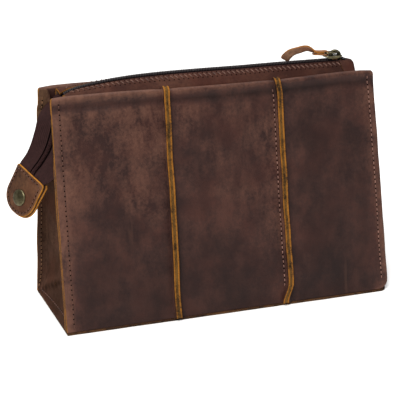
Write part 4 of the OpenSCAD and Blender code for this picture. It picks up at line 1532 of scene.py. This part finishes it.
def build_slider():
    plate = 1.1
    low_z, high_z = SLIDER_LOW.z, COIL_TOP + 1.3
    half = SLIDER_HIGH.y
    parts = []
    for name, z in (("slider_lower_plate", low_z), ("slider_upper_plate", high_z)):
        rings = rounded_plate(SLIDER_LOW.x, SLIDER_HIGH.x, half, half * 0.78, z, z + plate, 0.3)
        wear_and_shading = [w for _ in rings for w in (0.1, 0.1, 0.6, 0.6, 0.3, 0.3, 0.6, 0.6)]
        parts.append(tube(name, rings, [BRASS], wear_and_shading=wear_and_shading))
    for direction in (-1, 1):
        rings = []
        for k in range(13):
            t = k / 12
            x = lerp(SLIDER_LOW.x + 1.2, SLIDER_HIGH.x - 1.0, t)
            y = direction * (lerp(half, half * 0.78, smooth(t)) - 0.35)
            drop = 1.15 * sin(pi * lerp(0.08, 0.92, t)) ** 0.4
            shape = ((-0.35, 0.5), (0.35, 0.5), (0.35, 0.15 - drop), (0, -drop), (-0.35, 0.15 - drop))
            rings.append([(x, y + across, high_z + up) for across, up in shape])
        word = "front" if direction < 0 else "back"
        parts.append(tube(f"slider_flange_{word}", rings, [BRASS], wear_and_shading=[0.45] * 65))
    rings = []
    for k in range(5):
        t = k / 4
        z = lerp(low_z + 0.5, high_z + 0.6, t)
        x = SLIDER_HIGH.x - 1.4
        rings.append([(x + 1.1 * cos(a), 0.55 * sin(a), z) for a in around(12)])
    parts.append(tube("slider_wedge", rings, [BRASS]))

    reach, rise, arch_half = 3.7, 3.5, 1.55
    foot = high_z + plate + 0.1
    rings, wear_and_shading = [], []
    count = 26
    for k in range(count + 1):
        t = pi * k / count
        p = Vector((PIVOT.x - reach * cos(t), 0, foot + rise * sin(t)))
        out = Vector((-cos(t), 0, sin(t)))
        thick = lerp(1.8, 1.1, max(0.0, sin(t)) ** 0.7)
        wide = arch_half * lerp(1.2, 1.0, sin(t))
        ring = []
        for a in around(12):
            cy, cz = cos(a), sin(a)
            ring.append(p + Vector((0, wide * copysign(abs(cy) ** 0.6, cy), 0))
                        + out * thick * copysign(abs(cz) ** 0.6, cz))
            wear_and_shading.append(0.35 if cz > 0.4 else 0.0)
        rings.append(ring)
    parts.append(tube("slider_bridge", rings, [BRASS], wear_and_shading=wear_and_shading))
    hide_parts("slider_body")
    for part in parts:
        settle(part, "antique_brass", body="slider")


def build_link():
    """A closed wire link with rounded corners, from the slider's eye to the lace."""
    half = 3.1
    x0, x1 = BAR.x, PIVOT.x
    corner = 1.3
    path = []
    for cx, cy, start in ((x1 - corner, half - corner, 0), (x0 + corner, half - corner, 90),
                          (x0 + corner, -half + corner, 180), (x1 - corner, -half + corner, 270)):
        for k in range(6):
            t = radians(start + 90 * k / 5)
            path.append((cx + corner * cos(t), cy + corner * sin(t)))
    rings, wear_and_shading = [], []
    n = len(path)
    radius = 0.72
    for i in range(n + 1):
        a, b, c = path[(i - 1) % n], path[i % n], path[(i + 1) % n]
        d = unit(np.array([c[0] - a[0], c[1] - a[1], 0]))
        across = np.array([-d[1], d[0], 0])
        rings.append([(*(b + across[:2] * radius * cos(t)), PIVOT.z + radius * sin(t))
                      for t in around(10)])
        # The wire's upper side is lighter: a painted highlight.
        wear_and_shading += [0.5 if sin(t) > 0.5 else 0.15 for t in around(10)]
    obj = tube("pull_link_wire", rings, [BRASS], closed=False, wear_and_shading=wear_and_shading)
    weld(obj, 1e-6)
    settle(obj, "antique_brass", ["pull_link"], "pull")


LACE_W, LACE_T = 6.2, 1.5


def lace_section(p, w, n, wide, thick):
    """A rounded flat section: the two faces, and the raw edges at both sides."""
    face = [(-1, -0.45), (-0.86, -1), (-0.4, -1.04), (0.0, -1.05), (0.4, -1.04), (0.86, -1), (1, -0.45)]
    shape = face + [(-a, -b) for a, b in face]
    return [p + w * wide / 2 * a + n * thick / 2 * b for a, b in shape]


LACE_KINDS = [1, 0, 0, 0, 0, 1, 1, 1, 0, 0, 0, 0, 1, 1]
LOOP_KINDS = [0, 0, 0, 0, 0, 0, 1, 0, 0, 0, 0, 0, 0, 1]


def build_lace():
    """The lace: doubled round the link's bar, then twisted on edge as it arches to its free end."""
    r = 0.8 + LACE_T / 2
    z = BAR.z
    loop = [(BAR.x - v, z + h) for v, h in ((11.4, 1.5), (9.6, 1.9), (7.5, 1.75), (5, 1.5), (2.5, 1.45))]
    for k in range(11):
        t = pi / 2 - pi * k / 10
        loop.append((BAR.x + r * cos(t), z + r * sin(t)))
    loop += [(BAR.x - v, z - h) for v, h in ((2.5, 1.25), (5, 0.9), (7.5, 0.55), (9.6, 0.4), (11.2, 0.2))]
    loop = np.array([(x, 0.0, zz) for x, zz in loop])
    rings = []
    across = np.array([0, 1.0, 0])
    for i, p in enumerate(loop):
        d = unit(loop[min(i + 1, len(loop) - 1)] - loop[max(i - 1, 0)])
        rings.append(lace_section(p, across, np.cross(d, across), 4.5, LACE_T * 0.92))
    doubled = tube("pull_loop_leather", rings, [LACE_SKIN, LACE_EDGE], LOOP_KINDS, angle=45)
    settle(doubled, "lace_leather", ["pull_loop"], "lace")

    route = [(2, 0, 0.5, 0), (8.0, 0, 0.9, 4), (11.6, 0.1, 2.5, 26), (16.4, 0.8, 4.6, 56),
             (23.0, 2.2, 3.5, 76), (28.8, 4.0, 1.6, 80), (31.8, 6.2, -1.6, 72), (33.6, 8.0, -4.9, 58)]
    count = 60
    line = catmull([np.array([BAR.x - a, b, z + c, radians(e)]) for a, b, c, e in route], count)
    rings = []
    for i, row in enumerate(line):
        p = row[:3]
        d = unit(line[min(i + 1, count - 1)][:3] - line[max(i - 1, 0)][:3])
        flat = unit(np.cross([0, 0, 1.0], d))
        up = np.cross(d, flat)
        w = flat * cos(row[3]) + up * sin(row[3])
        n = up * cos(row[3]) - flat * sin(row[3])
        t = i / (count - 1)
        wide = LACE_W * lerp(0.72, 1.0, ramp(t, 0.2, 0.5)) * lerp(1.0, 1.22, ramp(t, 0.6, 0.95))
        wide *= 1 + 0.05 * ripple(t, 0, 201, 0.13)
        if t > 0.97:
            wide *= 0.9
        cup = 0.35 * ripple(t, 3, 203, 0.2)
        rings.append(lace_section(p + n * cup, w, n, wide, LACE_T))
    single = tube("pull_lace_leather", rings, [LACE_SKIN, LACE_EDGE], LACE_KINDS, angle=45)
    settle(single, "lace_leather", ["pull_lace"], "lace")


# ---- The whole bag --------------------------------------------------------------------------------

def build_bag():
    build_base()
    for side, word in ((-1, "front"), (1, "back")):
        build_wall(side, word)
        build_wall_lining(side, word)
        build_facing(side, word)
        build_tape(side, word)
        build_coil(side, word)
        build_zip_ends(side, word)
    for end, place in ((-1, "left"), (1, "right")):
        for side, word in ((-1, "front"), (1, "back")):
            nodes = [f"{word}_lip_{place}"] + ([f"{place}_gusset"] if side < 0 else [])
            build_gusset_half(end, side, f"{place}_gusset_{word}", nodes)
            lined = [f"{place}_gusset_lining"] if side < 0 else []
            build_gusset_lining(end, side, f"{place}_lining_{word}", lined)
            gusset_stitches(end, side, f"{place}_gusset_stitches_{word}")
    build_stud()
    build_tail()
    build_tab()
    build_slider()
    build_link()
    build_lace()


# ---- Studio ---------------------------------------------------------------------------------------

def area_light(name, place, target, size, energy, colour=(1, 1, 1)):
    data = bpy.data.lights.new(name, "AREA")
    data.shape = "RECTANGLE"
    data.size, data.size_y = size
    data.energy = energy
    data.color = colour
    obj = bpy.data.objects.new(name, data)
    obj.location = place
    obj.rotation_euler = (Vector(target) - Vector(place)).to_track_quat("-Z", "Y").to_euler()
    bpy.context.scene.collection.objects.link(obj)


def build_studio():
    yaw, pitch = radians(20.14), radians(17.92)
    distance = 1.098
    target = Vector((-11.7 * MM, 0, 82.1 * MM))
    back = Vector((-sin(yaw) * cos(pitch), -cos(yaw) * cos(pitch), sin(pitch)))
    camera_data = bpy.data.cameras.new("camera")
    camera_data.sensor_width = 36
    camera_data.lens = 119.5
    camera_data.clip_start, camera_data.clip_end = 0.01, 20
    camera = bpy.data.objects.new("camera", camera_data)
    camera.location = target + back * distance
    camera.rotation_euler = (-back).to_track_quat("-Z", "Y").to_euler()
    bpy.context.scene.collection.objects.link(camera)
    bpy.context.scene.camera = camera

    floor_mesh = bpy.data.meshes.new("floor")
    reach = 6.0
    corners = [(-reach, -reach, 0), (reach, -reach, 0), (reach, reach, 0), (-reach, reach, 0)]
    floor_mesh.from_pydata(corners, [], [(0, 1, 2, 3)])
    floor = bpy.data.objects.new("floor", floor_mesh)
    bpy.context.scene.collection.objects.link(floor)
    paper = Graph("floor_paper")
    floor_mesh.materials.append(paper.done((0.93, 0.93, 0.93), 0.9))

    sun_data = bpy.data.lights.new("key", "SUN")
    sun_data.energy = 3.6
    sun_data.angle = radians(24)
    sun_data.color = (1.0, 0.985, 0.96)
    sun = bpy.data.objects.new("key", sun_data)
    toward = Vector((-0.60, -0.80, 1.05))
    sun.rotation_euler = toward.to_track_quat("Z", "Y").to_euler()
    bpy.context.scene.collection.objects.link(sun)
    area_light("top", (0.1, 0.3, 1.6), (0, 0, 0.1), (1.4, 1.0), 14)
    world = bpy.data.worlds.new("studio")
    world.use_nodes = True
    world.node_tree.nodes["Background"].inputs[0].default_value = (1.0, 1.0, 1.0, 1.0)
    world.node_tree.nodes["Background"].inputs[1].default_value = 0.4
    bpy.context.scene.world = world
    bpy.context.scene.view_settings.view_transform = "Standard"


build_studio()
build_bag()
